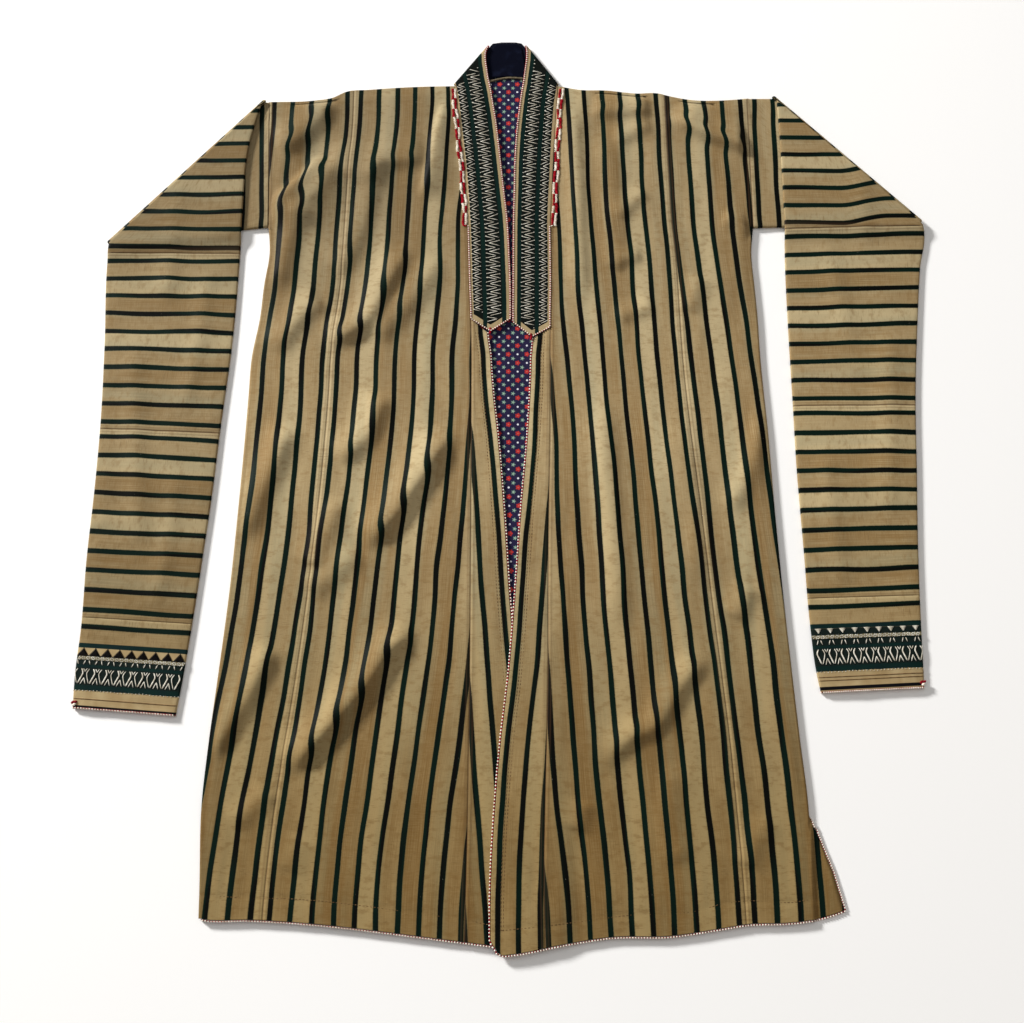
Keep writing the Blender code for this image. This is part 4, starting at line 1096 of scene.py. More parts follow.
collarTop = ((-26, 654.0), (-14, 655.9), (-4, 656), (5, 655.9), (13, 654.2))


def tipDepth(shares):
    return np.where(shares < tipAt, shares / tipAt, (1 - shares) / (1 - tipAt))


def tipLine(sign, share):
    # how high the band's pointed end starts, by the share of its width from the seam
    collar = collars[sign]
    return blend(collar["tipSeam"], collar["tipFree"], share) - collar["tip"] * tipDepth(share)


def bandWidth(sign, y):
    y = np.clip(y, 262, 560)
    return abs(columnLine(collars[sign]["side"], "inner")(y) - curve(collars[sign]["free"], "f", y))


def collarFront(sign, shares):
    # rows from the tip up to the fold at the neck
    collar = collars[sign]
    seam = columnLine(collar["side"], "inner", -sign * wall["seam"])
    rows = [((float(seam(collar["tipSeam"])), collar["tipSeam"]),
             (float(curve(collar["free"], "f", collar["tipFree"])), collar["tipFree"]), collar["tip"])]
    for height in levels:
        x, y = placeRow(seam, height, collar["side"])
        if y > collar["tipSeam"] + tipReach:
            rows.append(((float(x), float(y)), (float(curve(collar["free"], "f", y + 4)), float(y) + 4), 0.0))
    foldSeam, foldFree = collar["fold"]
    lastSeam, lastFree = rows[-1][:2]
    for t in (.1, .2, .3, .4, .5, .6, .7, .8, .9, 1.0):
        yFree = blend(lastFree[1], foldFree[1], t)
        rows.append(((blend(lastSeam[0], foldSeam[0], t), blend(lastSeam[1], foldSeam[1], t)),
                     (float(curve(collar["free"], "f", yFree)), yFree), 0.0))
    first, second = rows[0], rows[1]
    for k in range(17, 0, -1):
        t = k / 18
        ends = [tuple(blend(a, b, t) for a, b in zip(p, q)) for p, q in zip(first[:2], second[:2])]
        rows.insert(1, (*ends, first[2] * (1 - float(smooth((t - .2) / .8)))))
    grid = []
    depth = tipDepth(shares)
    for (xs, ys), (xf, yf), tip in rows:
        x = blend(xs, xf, shares)
        y = blend(ys, yf, shares) - tip * depth
        z = level["collarFront"] + foldRise(x, y) * 0.8
        edgeDrop = 0.5 * np.exp(-((1 - shares) * 45 / 1.5) ** 2) + 0.5 * np.exp(-(shares * 45 / 1.5) ** 2)
        grid.append(np.stack((x, y, z - edgeDrop), 1))
    return grid


def collarGrid(shares):
    halves = {}
    for sign in (-1, 1):
        rows = collarFront(sign, shares)
        (xs, ys), (xf, yf) = collars[sign]["fold"]
        length = math.hypot(xf - xs, yf - ys)
        outX, outY = sign * (yf - ys) / length, abs(xf - xs) / length
        top = rows[-1][:, 2]
        for k in range(1, 8):
            turn = math.pi * k / 8
            reach = collarRadius * math.sin(turn)
            height = level["collarBack"] + (top - level["collarBack"]) / 2 * (1 + math.cos(turn))
            x, y = blend(xs, xf, shares) + outX * reach, blend(ys, yf, shares) + outY * reach
            rows.append(np.stack((x, y, height), 1))
        halves[sign] = rows
    backRows = []
    (leftSeam, leftFree), (rightSeam, rightFree) = collars[-1]["fold"], collars[1]["fold"]
    tops = (leftFree,) + collarTop + (rightFree,)
    half = (len(tops) - 1) // 2
    topX, topY = np.array([t[0] for t in tops], float), np.array([t[1] for t in tops], float)
    for k in np.linspace(0, len(tops) - 1, 37):
        xf, yf = np.interp(k, range(len(tops)), topX), np.interp(k, range(len(tops)), topY)
        end, share = (leftSeam[0], 1 - k / half) if k < half else (rightSeam[0], k / half - 1)
        xs = blend(centreBack, end, share)
        ys = float(curve(neckSeam, "y", xs, "x")) + 0.15
        x, y = blend(xs, xf, shares), blend(ys, yf, shares)
        backRows.append(np.stack((x, y, np.full_like(x, level["collarBack"])), 1))
    return halves, np.array(halves[-1] + backRows + halves[1][::-1])


def fromFreeEdge(sign, part):
    # distance from the free edge, as if the band were everywhere equally wide
    y = np.linspace(collars[sign]["tipFree"], 641, 90)
    edge = np.stack((curve(collars[sign]["free"], "f", y), y), 1)
    edge = np.concatenate(([edge[0] + (edge[0] - edge[4]) * 2], edge, [collars[sign]["fold"][1]]))
    points = part[..., :2].reshape(-1, 2)
    a, d = edge[:-1, None], np.diff(edge, axis=0)[:, None]
    t = np.clip(((points - a) * d).sum(2) / (d * d).sum(2), 0, 1)
    gap = np.linalg.norm(points - a - d * t[..., None], axis=2).min(0).reshape(part.shape[:2])
    return gap * 49.0 / (bandWidth(sign, part[..., 1]) * 0.993)


def workSurface(sign):
    # the band's top in rows of equal height, its columns 1 mm apart from the free edge
    y = np.arange(225.0, 652.0, 3.0)
    across = np.linspace(0, 49, 50)
    x = (curve(collars[sign]["free"], "f", y)[:, None]
         + sign * across[None, :] * bandWidth(sign, y)[:, None] / 49)
    y = np.repeat(y[:, None], 50, axis=1)
    grid = np.stack((x, y, level["collarFront"] + foldRise(x, y) * 0.8), 2)
    return Surface(grid, y[:, 0], np.tile(across, (len(y), 1)))


def onBand(sign, points, above):
    # whether a stroke stays over the pointed end and short of the fold at the neck
    (xs, ys), (xf, yf) = collars[sign]["fold"]
    y, across = np.array(points, float).T
    x = curve(collars[sign]["free"], "f", y) + sign * across * bandWidth(sign, y) / 49
    beyond = ((x - xs) * sign * (yf - ys) + (y - ys) * abs(xf - xs)) / math.hypot(xf - xs, yf - ys)
    return (y > tipLine(sign, 1 - across / 49) + above).all() and (beyond < -1.0).all()


def collarBand(name):
    shares = spacing(0, 50, 1.5, (0.7, 1.4))
    halves, grid = collarGrid(shares)
    fromFree = np.empty(grid.shape[:2])
    fromFree[:len(halves[-1])] = fromFreeEdge(-1, np.array(halves[-1]))
    fromFree[len(grid) - len(halves[1]):] = fromFreeEdge(1, np.array(halves[1]))[::-1]
    back = slice(len(halves[-1]), len(grid) - len(halves[1]))
    steps = np.linalg.norm(np.diff(grid[back], axis=1), axis=2)
    fromSeam = np.concatenate((np.zeros((len(steps), 1)), np.cumsum(steps, axis=1)), axis=1)
    fromFree[back] = fromSeam[:, -1:] - fromSeam
    lengths = np.linalg.norm(np.diff(grid, axis=0), axis=2)
    fromTip = np.concatenate((np.zeros((1, grid.shape[1])), np.cumsum(lengths, axis=0)))
    tip = np.minimum(fromTip, fromTip[-1:] - fromTip)
    uv = np.stack((fromFree, np.repeat(fromTip[:, grid.shape[1] // 2:][:, :1], grid.shape[1], axis=1)),
                  2) / 1000
    inside = np.concatenate((np.ones(tip.size), np.zeros(tip.size)))
    return clothSheet(name, grid, uv, wall["collar"], "collar", None, {"tip": tip, "inside": inside})


# Sleeves

sleeveLeft = table(
    "y      inner   outer",
    (563,   -330,   -519),
    (500,   -344,   -519),
    (400,   -349,   -519),
    (358,   -349.5, -519.5),
    (330,   -350,   -520),
    (220,   -353.5, -515),
    (110,   -362,   -512),
    (20,    -368,   -513),
    (-60,   -375,   -515.5),
    (-150,  -383.5, -515.5),
    (-200,  -389,   -518),
    (-255,  -396,   -517))
sleeveRight = table(
    "y      inner   outer",
    (563,   350,    528.7),
    (500,   351.5,  528.7),
    (388,   352,    528.7),
    (384,   352,    530.6),
    (378,   352,    532),
    (325,   350.5,  524),
    (250,   350,    515),
    (150,   350.5,  505),
    (50,    351,    499),
    (-50,   354,    493),
    (-140,  356.5,  489.5),
    (-200,  361,    488),
    (-230,  366,    487))
sleeveOutlines = {"Left": sleeveLeft, "Right": sleeveRight}
tube = dict(low=1.0, high=3.4, across=40, round=5)
creaseHeight = tube["high"] + wall["cloth"] / 2 + 0.2
dropHeight = 2 * creaseHeight - tube["high"] - wall["cloth"] / 2
sleeveFolds = (  # crest, widths towards the light and away from it, height
    (((455, 548), (457, 450), (452, 330)), 15, 12, 3.0),
    (((400, 380), (415, 300), (430, 200)), 16, 14, 2.0),
    (((478, 250), (470, 120), (455, -40)), 16, 14, 2.2),
    (((385, 90), (392, -20), (400, -100)), 12, 12, 1.6),
    (((-430, 470), (-437, 370), (-440, 260)), 15, 13, 2.5),
    (((-388, 335), (-396, 220), (-410, 120)), 13, 12, 2.0),
    (((-480, 240), (-465, 80), (-452, -60)), 16, 14, 2.4),
    (((-410, 60), (-418, -40), (-430, -130)), 12, 12, 1.8),
)
sleeveCrests = [(crestLine(points), *rest) for points, *rest in sleeveFolds]


def sleeveWave(x, y):
    rise = np.zeros_like(x)
    for crest, towards, away, height in sleeveCrests:
        if (crest[0, 0] < 0) != (x[0] < 0):
            continue
        off, along = awayFrom(crest, x, y)
        rise += height * np.exp(-(off / np.where(off > 0, towards, away)) ** 2) * smooth(along / .2) * smooth(
            (1 - along) / .2)
    wrinkles = (0.45 * softNoise(x, y, 60, 18, 4) + 0.25 * softNoise(x, y, 22, 9, 5)
                + 0.3 * softNoise(x, y, 30, 60, 10))
    return rise + 0.5 + wrinkles


def ringShape():
    # share across, wall (-1 low, 1 high, 0 the rounding), side of the rounding and its angle
    count, bends = tube["across"], tube["round"]
    flat = np.linspace(0, 1, count + 1)
    angles = math.pi * np.arange(1, bends + 1) / (bends + 1)
    share = np.concatenate((flat, np.ones(bends), flat[::-1], np.zeros(bends)))
    part = np.concatenate((-np.ones(count + 1), np.zeros(bends), np.ones(count + 1), np.zeros(bends)))
    side = np.concatenate((np.zeros(count + 1), np.ones(bends), np.zeros(count + 1), -np.ones(bends)))
    angle = np.concatenate((np.zeros(count + 1), angles, np.zeros(count + 1), angles))
    return share, part, side, angle


ringShare, ringPart, ringSide, ringAngle = ringShape()


def sleeveRing(start, end, lowLift=0.0, highLift=0.0):
    # matching outer and inner rings of the flattened tube, before it is turned over the crease
    start, end = np.array(start, float), np.array(end, float)
    direction = (end - start) / np.linalg.norm(end - start)
    low, high = tube["low"] - lowLift, tube["high"] + highLift
    rings = []
    for offset in (wall["cloth"] / 2, -wall["cloth"] / 2):
        radius = (high - low) / 2 + offset
        flat = start + (end - start) * ringShare[:, None]
        flat = flat + direction * (ringSide * radius * np.sin(ringAngle))[:, None]
        z = np.where(ringPart < 0, low - offset, high + offset)
        z = np.where(ringPart == 0, (high + low) / 2 - ringSide * radius * np.cos(ringAngle), z)
        rings.append(np.column_stack((flat, z)))
    return rings


def sleeve(word):
    spec, outline = sleeveSpecs[word], sleeveOutlines[word]
    sign = spec["sign"]
    tubeReach = (tube["high"] - tube["low"]) / 2 + wall["cloth"] / 2
    (x0, y0), (x1, y1) = spec["crease"]
    length = math.hypot(x1 - x0, y1 - y0)
    outward = np.array((sign * abs(y1 - y0) / length, abs(x1 - x0) / length))
    armTop, armLow = spec["armhole"]
    endLow = spec["underarmEnd"]

    def underarmLine(x):
        share = (x - armLow[0]) / (endLow[0] - armLow[0])
        return blend(armLow[1], endLow[1], np.clip(share, -.1, 1.1))

    def turned(ring, turn, dropping=False):
        angle = math.pi * turn
        radius = creaseHeight - ring[:, 2]
        moved = ring.copy()
        moved[:, :2] += outward[None, :] * (radius * math.sin(angle))[:, None]
        moved[:, 2] = creaseHeight - radius * math.cos(angle)
        if dropping:
            moved[:, 2] -= dropHeight * smooth((underarmLine(ring[:, 0]) - 1.0 - ring[:, 1]) / 26)
        return moved

    def edges(yIn, yOut):
        inner = (float(curve(outline, "inner", yIn)) + sign * tubeReach, yIn)
        outer = (float(curve(outline, "outer", yOut)) - sign * tubeReach, yOut)
        return inner, outer

    def hanging(start, end, gap):
        room = float(smooth((underarmLine(start[0]) - 20 - start[1]) / 60)) * 0.6 + 0.4
        x, y = blend(start[0], end[0], ringShare), blend(start[1], end[1], ringShare)
        near = smooth(ringShare * 11) * smooth((1 - ringShare) * 11)
        lift = room * sleeveWave(x, y) * near + seamDip(abs(gap), x,
                                                        4) * 0.8 * smooth(ringShare * 30) * smooth(
            (1 - ringShare) * 30)
        return [turned(ring, 1.0, True) for ring in sleeveRing(start, end, np.where(ringPart < 0, lift, 0.0))]

    count = len(ringShare)
    rings, stripesAt, gaps = [], [], []
    # the armhole part, out to the crease; its map runs along the sleeve from the armhole
    for share in (0, .01, .02, .035, .06, .12, .2, .35, .5, .65, .8, .9, 1):
        gap = sign * wall["seam"] * (1 - share)
        start = (blend(armTop[0], x0, share) + gap, blend(armTop[1] - foldReach, y0, share))
        end = (blend(armLow[0], x1, share) + gap, blend(armLow[1] + tubeReach, y1, share))
        rise = (level["front"] - tube["high"]) * float(smooth(1 - share / .12))
        if share == 0:
            end = (end[0], end[1] + foldReach - tubeReach)
        pair = sleeveRing(start, end, 0.0, rise)
        rings.append(pair)
        armholeX = blend(armLow[0], armTop[0], (pair[0][:, 1] - armLow[1]) / (armTop[1] - armLow[1]))
        stripesAt.append(abs(pair[0][:, 0] - armholeX))
        gaps.append(np.abs(stripesAt[-1]))
    firstStripe = 10.0 if sign < 0 else 9.0
    atCrease = stripesAt[-1]
    for k in range(1, 13):
        rings.append([turned(ring, k / 12) for ring in sleeveRing((x0, y0), (x1, y1))])
        stripesAt.append(atCrease)
        gaps.append(np.full(count, 99.0))
    joinIn, joinOut = (y + wall["seam"] for y in spec["joins"][0])
    lastStripe = 213.0 if sign > 0 else 214.0
    steps = 60
    for k in range(1, steps + 1):
        t = k / steps if k < steps - 3 else 1 - (steps - k) * 0.006
        fromJoin = (1 - t) * (y0 - joinIn)
        pair = hanging(*edges(blend(y0, joinIn, t), blend(y1, joinOut, t)), fromJoin)
        flat = pair[0]
        joinY = 344.0 if sign < 0 else 378 + 9 * smooth((flat[:, 0] - 425) / 60)
        rings.append(pair)
        stripesAt.append(lastStripe - (flat[:, 1] - joinY))
        gaps.append(np.full(count, fromJoin))
    parts = [(rings, [(values - firstStripe) / 24.5 * stripePitch for values in stripesAt], gaps, "striped",
              None)]
    joins = list(spec["joins"]) + [spec["end"]]
    for number, ((inA, outA), (inB, outB)) in enumerate(zip(joins, joins[1:]), 2):
        seam, span = wall["seam"], inA - inB
        pitch = (span - 20) / 9 if number < 4 else 24.5
        rings, maps, gaps, bands = [], [], [], []
        for t in spacing(0, span, 3.7):
            gap = min(t, 1 - t if number < 4 else 1.0) * span
            rings.append(hanging(*edges(blend(inA - seam, inB + seam, t),
                                        blend(outA - seam, outB + seam, t)), gap))
            maps.append(np.full(count, (t * span - 10.5) / pitch * stripePitch))
            gaps.append(np.full(count, gap))
            bands.append(np.full(count, t * span))
        parts.append((rings, maps, gaps, "striped" if number < 4 else f"cuff{word}", bands))
    made = []
    for number, (rings, maps, gaps, material, bands) in enumerate(parts, 1):
        outer, inner = np.array([pair[0] for pair in rings]), np.array([pair[1] for pair in rings])
        ringSteps = np.linalg.norm(outer - np.roll(outer, 1, axis=1), axis=2)
        ringSteps[:, 0] = 0
        girth = np.cumsum(ringSteps, axis=1) / 1000
        i, j = (part.ravel() for part in np.meshgrid(np.arange(len(rings) - 1), np.arange(count),
                                                     indexing="ij"))
        k = (j + 1) % count
        quads = np.stack((i * count + j, i * count + k, (i + 1) * count + k, (i + 1) * count + j), 1)
        total, last = len(rings) * count, (len(rings) - 1) * count
        a = np.arange(count)
        b = (a + 1) % count
        lips = np.vstack((np.stack((b, a, total + a, total + b), 1),
                          np.stack((last + a, last + b, total + last + b, total + last + a), 1)))
        faces = np.vstack((quads, quads[:, ::-1] + total, lips))
        points = np.vstack((outer.reshape(-1, 3), inner.reshape(-1, 3)))
        pull = 1.2 * softNoise(outer[..., 0], outer[..., 1], 60, 40, 9) / 1000
        uv = np.tile(np.stack((np.array(maps) + pull, girth), 2).reshape(-1, 2), (2, 1))
        attributes = {"seam": np.tile(seamShade(np.array(gaps)).ravel(), 2)}
        if material != "striped":
            below = np.array(bands) - cuffStart[word]
            attributes["bands"] = np.tile(below.ravel(), 2)
            attributes["plain"] = np.tile((below > 3.0).astype(float).ravel(), 2)
        made.append((makeMesh(f"sleeve{word}{number}", points, faces, [material], uv, attributes), outer))
    return made


cuffStart = {"Left": 31.0, "Right": 32.0}  # from the last join down to the first dark band


# Laying the pieces

fronts, cuffs, cuffRings = {}, {}, {}
for word, side, sign in (("Left", left, -1), ("Right", right, 1)):
    low = word.lower()
    piece, centreRows = centreStrip(f"bodyCentre{word}", side, sign)
    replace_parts(piece, f"body_centre_{low}")
    piece, sideGrid, sideEdge = sideStrip(f"bodySide{word}", side, sign)
    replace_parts(piece, f"body_side_{low}")
    piece, goreRows = frontGore(f"frontGore{word}", side, sign)
    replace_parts(piece, f"front_gore_{low}")
    fronts[sign] = dict(gore=goreRows, centre=centreRows, side=sideGrid, sideEdge=sideEdge)
print("stage: body")

band = collarBand("collarBand")
collarSurfaces = {sign: workSurface(sign) for sign in (-1, 1)}
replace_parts(band, "collar")
print("stage: collar")

for word in ("Left", "Right"):
    made = sleeve(word)
    for number, (piece, outer) in enumerate(made, 1):
        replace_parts(piece, f"sleeve_{word.lower()}_{number}")
    outer = made[-1][1]
    count, bends = tube["across"], tube["round"]
    visible = list(range(outer.shape[1] - bends // 2 - 1,
                         outer.shape[1])) + list(range(count + bends // 2 + 2))
    cuffs[word] = Surface(outer[:, visible])
    cuffRings[word] = outer
print("stage: sleeves")


def backLining(name):
    rows = []
    for t in np.linspace(0, 1, 160):
        half = blend(34, 48, smooth(t * 2))
        x = -3 + np.linspace(-1, 1, 21) * half
        y = blend(-165, curve(neckSeam, "y", x, "x") - 1.0, t)
        z = level["lining"] + 0.3 * softNoise(x, y, 12, 30, 11)
        rows.append(np.stack((x, y, z), 1))
    grid = np.array(rows)
    drift = np.interp(grid[..., 1], (-60, -10, 30, 200), (1.3, 3.0, 4.2, 4.7))
    uv = np.stack((grid[..., 0] + drift, grid[..., 1] + 5.3), 2) / 1000
    piece = clothSheet(name, grid, uv, wall["lining"], "lining")
    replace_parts(piece, "back_lining")


def neckFacing(name):
    # navy velvet with rounded upper corners, its lower edge on the neck seam
    rows = []
    for t in np.linspace(0, 1, 20):
        lowX, highX = blend(-38, -24, t), blend(22, 11.5, t)
        squeeze = 1 - 0.22 * smooth((t - .8) / .2) ** 2
        centre = (lowX + highX) / 2
        x = centre + (np.linspace(lowX, highX, 24) - centre) * squeeze
        y = blend(curve(neckSeam, "y", x, "x") + 0.8, 654.2, t)
        rows.append(np.stack((x, y, level["facing"] + 0.2 * softNoise(x, y, 14, 14, 12)), 1))
    grid = np.array(rows)
    piece = clothSheet(name, grid, grid[..., :2] / 1000, wall["facing"], "velvet")
    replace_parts(piece, "collar_facing")


backLining("backLining")
neckFacing("neckFacing")
print("stage: lining and facing")


# Embroidery, braid and sewing

collarWork = dict(columns=((11.8, 28.4), (34.4, 45.2)), lift=1.2, above=10.3)
zigzagPitch = table("y p", (235, 9.8), (300, 11.2), (345, 12.0), (450, 12.2), (640, 11.6))
zigzagStrokes = (  # one repeat: thickness, then (up in shares of the repeat, across in shares of the column)
    (0.43, (-0.28, 0.03), (-0.02, 0.70)), (0.43, (0.27, 0.00), (0.02, 0.70)),
    (0.43, (-0.50, 0.24), (-0.21, 0.96)), (0.43, (-0.51, 0.26), (-0.80, 0.99)),
    (0.62, (-0.30, -0.03), (-0.27, 0.05)), (0.58, (0.28, -0.02), (0.23, 0.12)),
    (0.56, (-0.23, 0.91), (-0.20, 0.99)),
)
braidLook = dict(dotPitch=3.2, dot=(1.0, 1.0, 0.8), couchLow=382.0, couchHigh=583.0, couchPitch=2.1,
                 couchBlock=15.5, couchRows={-1: (1.3, 4.9), 1: (3.2, 6.8)}, loop=(0.95, 2.1, 1.5),
                 edgeOut=1.5, frontPitch=4.0, hemPitch=3.3, slitPitch=2.8, bead=(1.12, 1.05, 1.0),
                 redBead=(0.6, 0.7, 0.65), cord=0.9)
cuffPattern = {
    "Left": dict(pitch=15.0, line=(15.5, 20.3), dashes=(21.0, 25.5), lattice=31.0, edge=57.0, seam=(67.0,),
                 beads=3.4),
    "Right": dict(pitch=14.0, line=(12.8, 17.2), dashes=(19.2, 24.4), lattice=30.0, edge=57.0,
                  seam=(63.0, 67.0), beads=2.6),
}
latticeStrokes = (  # one repeat: thickness, then (across from its middle, down from the top)
    (0.85, (-2.4, 0.0), (-4.3, 3.0), (-4.8, 6.0), (-2.6, 12.0), (-0.7, 17.5)),
    (0.55, (2.4, 0.0), (4.4, 3.2), (4.9, 6.2), (2.9, 12.0), (0.7, 17.5)),
    (0.6, (5.3, -0.3), (7.4, 3.6)), (0.6, (9.5, -0.3), (7.4, 3.6)), (0.55, (4.4, 18.3), (7.4, 10.6)),
    (0.55, (10.4, 18.3), (7.4, 10.6)),
)


def wobble(number, size=1.0):
    # uneven handwork, the same on every run
    return size * math.sin(number * 12.9898 + 4.1) * math.cos(number * 7.233)


def workCollar(word, sign):
    # two columns of interlaced zigzag, their thick ends on the viewer's left
    surface, look, paths, radii = collarSurfaces[sign], collarWork, [], []

    def sew(points, radius):
        paths.append(drawn(surface, points, look["lift"] + radius * 0.4, 2.6))
        radii.append(radius)

    count = 0
    for column in look["columns"]:
        near, far = column if sign > 0 else column[::-1]
        y = 232.0
        while y < 650:
            count += 1
            pitch = float(curve(zigzagPitch, "p", y)) * (1 + wobble(count, 0.05))
            for number, (thick, *stroke) in enumerate(zigzagStrokes):
                shake, lean = wobble(count * 11 + number, 0.045), wobble(count, 0.10)
                points = [(y + pitch * (up + shake + lean * across), blend(near, far, across + shake * 0.7))
                          for up, across in stroke]
                if onBand(sign, points, look["above"]):
                    sew(points, thick)
            y += pitch
    piece = threads(f"collarZigzag{word}", paths, radii, ["cream"], squash=0.7)


def evenly(surface, points, pitch):
    # stations a fixed distance apart on a line over a surface: place, direction and up
    path, ups = drawn(surface, points, collarWork["lift"] + 0.55, 0.6)
    lengths = np.concatenate(([0], np.cumsum(np.linalg.norm(np.diff(path, axis=0), axis=1))))
    at = np.arange(pitch / 2, lengths[-1], pitch)
    spot = np.stack([np.interp(at, lengths, path[:, k]) for k in range(3)], 1)
    ahead = np.stack([np.interp(at + 0.5, lengths, path[:, k]) for k in range(3)], 1)
    up = np.stack([np.interp(at, lengths, ups[:, k]) for k in range(3)], 1)
    return spot, ahead - spot + 1e-6, up


def braidCollar(word, side, sign):
    surface, look, collar = collarSurfaces[sign], braidLook, collars[sign]
    shares = np.concatenate((np.linspace(0.02, tipAt, 8), np.linspace(tipAt, 0.98, 8)[1:]))
    pointed = np.column_stack((tipLine(sign, shares) + 0.5, 49 * (1 - shares)))
    lines = (((collar["tipFree"], 1.3), (646.0, 1.3)), pointed,
             ((collar["tipSeam"], 48.2), (look["couchLow"], 48.2)))
    spots = []
    for line in lines:
        for centre, direction, up in zip(*evenly(surface, line, look["dotPitch"])):
            spots.append((centre, direction, up, look["dot"], 0))
    cords = [drawn(surface, line, collarWork["lift"] - 0.1, 3.0) for line in lines]
    inner = columnLine(side, "inner")
    for row, out in enumerate(look["couchRows"][sign]):
        y = np.arange(look["couchLow"], look["couchHigh"], look["couchPitch"])
        x = inner(y) + sign * out
        swing = 0.15 * np.sin(y * 0.31 + row * 1.3)
        block = np.floor((y - look["couchLow"]) / look["couchBlock"] + swing).astype(int)
        z = frontHeight(x, y, side) + 1.0 + look["loop"][2] * 0.55
        for k in range(len(y)):
            red = (block[k] + row + (sign > 0)) % 2
            size = tuple(value * (1 + wobble(k + row * 50, 0.14)) for value in look["loop"])
            sway = 0.7 * math.sin(y[k] * 0.11 + row) + wobble(k + row * 90, 0.6)
            centre = (x[k] + sway, y[k] + wobble(k + row * 40, 0.25), z[k])
            spots.append((centre, (0.5 * wobble(k + row * 30), 1.0, 0.0), (0, 0, 1), size, 1 if red else 0))
    piece = stitches(f"collarBraid{word}", spots, ["white", "red"])
    piece = threads(f"collarCord{word}", cords, 1.0, ["darkRed"], squash=0.5)


def outsideLine(parts, turn, distance):
    # a line a little outside a cloth edge, point by point each millimetre, with its directions
    points = np.concatenate(parts)
    points = points[np.concatenate(([True], np.linalg.norm(np.diff(points, axis=0), axis=1) > 1e-6))]
    lengths = np.concatenate(([0], np.cumsum(np.linalg.norm(np.diff(points, axis=0), axis=1))))
    at = np.arange(0, lengths[-1], 1.0)
    line = np.stack([np.interp(at, lengths, points[:, k]) for k in range(3)], 1)
    travel = np.stack([np.convolve(np.gradient(line[:, k]), np.ones(7) / 7, "same") for k in range(2)], 1)
    travel /= np.linalg.norm(travel, axis=1, keepdims=True)
    away = turn * np.stack((-travel[:, 1], travel[:, 0]), 1)
    line[:, :2] += away * distance
    line[:, 2] = np.maximum(line[:, 2], 1.3)
    return line, travel, away


def beadedEdge(name, line, travel, away, pitchAt, extra=()):
    # white beads with red ones between them on a red cord
    look, spots, s, number = braidLook, list(extra), 1.0, 0
    marks = np.arange(len(line))
    while s < len(line) - 1:
        pitch = pitchAt(s)
        for shift, sizes, out, key in ((0.0, look["bead"], 0.1, 0), (pitch / 2, look["redBead"], -0.6, 1)):
            centre, direction, side = (np.array([np.interp(s + shift, marks,
                                                           part[:, k]) for k in range(part.shape[1])])
                                       for part in (line, travel, away))
            centre[:2] += side * (out + wobble(number + key * 70, 0.12))
            centre[2] += 0.25
            size = tuple(value * (1 + wobble(number + 11, 0.10)) for value in sizes)
            spots.append((centre, (*direction, 0.0), (0, 0, 1), size, key))
        number += 1
        s += pitch
    cord = np.column_stack((line[::2, :2] - away[::2] * 0.2, line[::2, 2] - 0.35))
    made = stitches(name, spots, ["white", "darkRed"])
    up = np.tile((0.0, 0.0, 1.0), (len(cord), 1))
    core = threads(f"{name}Cord", [(cord, up)], look["cord"], ["darkRed"], squash=0.9)
    return made


def braidFront(word, side, sign):
    part, look = fronts[sign], braidLook
    edge = part["gore"][::-1, -1]
    stop = part["sideEdge"] + 1 if side is left else part["side"].shape[1]
    hem = np.concatenate((part["gore"][0, ::-1], part["centre"][0, ::-1], part["side"][0, :stop]))
    parts = [edge, hem]
    if side is right:
        parts.append(part["side"][levels < slitTop - .02][1:, -1])
    line, travel, away = outsideLine(parts, -sign, look["edgeOut"])
    frontLength = np.linalg.norm(np.diff(edge, axis=0), axis=1).sum()
    hemLength = frontLength + np.linalg.norm(np.diff(hem, axis=0), axis=1).sum()

    def pitchAt(s):
        if s < frontLength:
            return look["frontPitch"]
        return look["hemPitch"] if s < hemLength else look["slitPitch"]

    tipX, tipY = (-27.6, 235.5) if side is left else (24.0, 227.5)
    knot = [((tipX + dx, tipY + dy, level["front"] + 2.6), (0.1, 1.0, 0.0), (0, 0, 1), (2.3, 1.5, 1.2), 1)
            for dx, dy in ((0, 2.8), (0.4, 0.0), (-0.3, -2.8))]
    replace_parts(beadedEdge(f"braidFront{word}", line, travel, away, pitchAt, knot),
                f"edging_front_{word.lower()}")


def braidCuff(word, sign):
    ring, before = cuffRings[word][-1], cuffRings[word][-2]
    loop = np.concatenate((ring, ring[:1]))
    away = np.concatenate((ring - before, ring[:1] - before[:1]))[:, :2]
    away /= np.linalg.norm(away, axis=1, keepdims=True)
    lengths = np.concatenate(([0], np.cumsum(np.linalg.norm(np.diff(loop, axis=0), axis=1))))
    at = np.arange(0, lengths[-1], 1.0)
    line = np.stack([np.interp(at, lengths, loop[:, k]) for k in range(3)], 1)
    out = np.stack([np.interp(at, lengths, away[:, k]) for k in range(2)], 1)
    line[:, :2] += out * 1.2
    line[:, 2] = np.maximum(line[:, 2], 1.3)
    travel = np.gradient(line[:, :2], axis=0)
    travel /= np.maximum(np.linalg.norm(travel, axis=1, keepdims=True), 1e-9)
    cornerX, cornerY = (-516.0, -236.5) if sign < 0 else (485.5, -212.5)
    tuft = [((cornerX + dx, cornerY + dy, 4.4 + dz), (0.8, 0.5, 0.0), (0, 0, 1), (2.6, 1.7, 1.4), key)
            for dx, dy, dz, key in ((0, 0, 0, 1), (1.8, 1.8, 0.6, 1), (-1.2, 1.6, 0.4, 1),
                                    (0.6, -1.2, 0.9, 0))]
    made = beadedEdge(f"braidCuff{word}", line, travel, out, lambda s: cuffPattern[word]["beads"], tuft)
    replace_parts(made, f"edging_cuff_{word.lower()}")


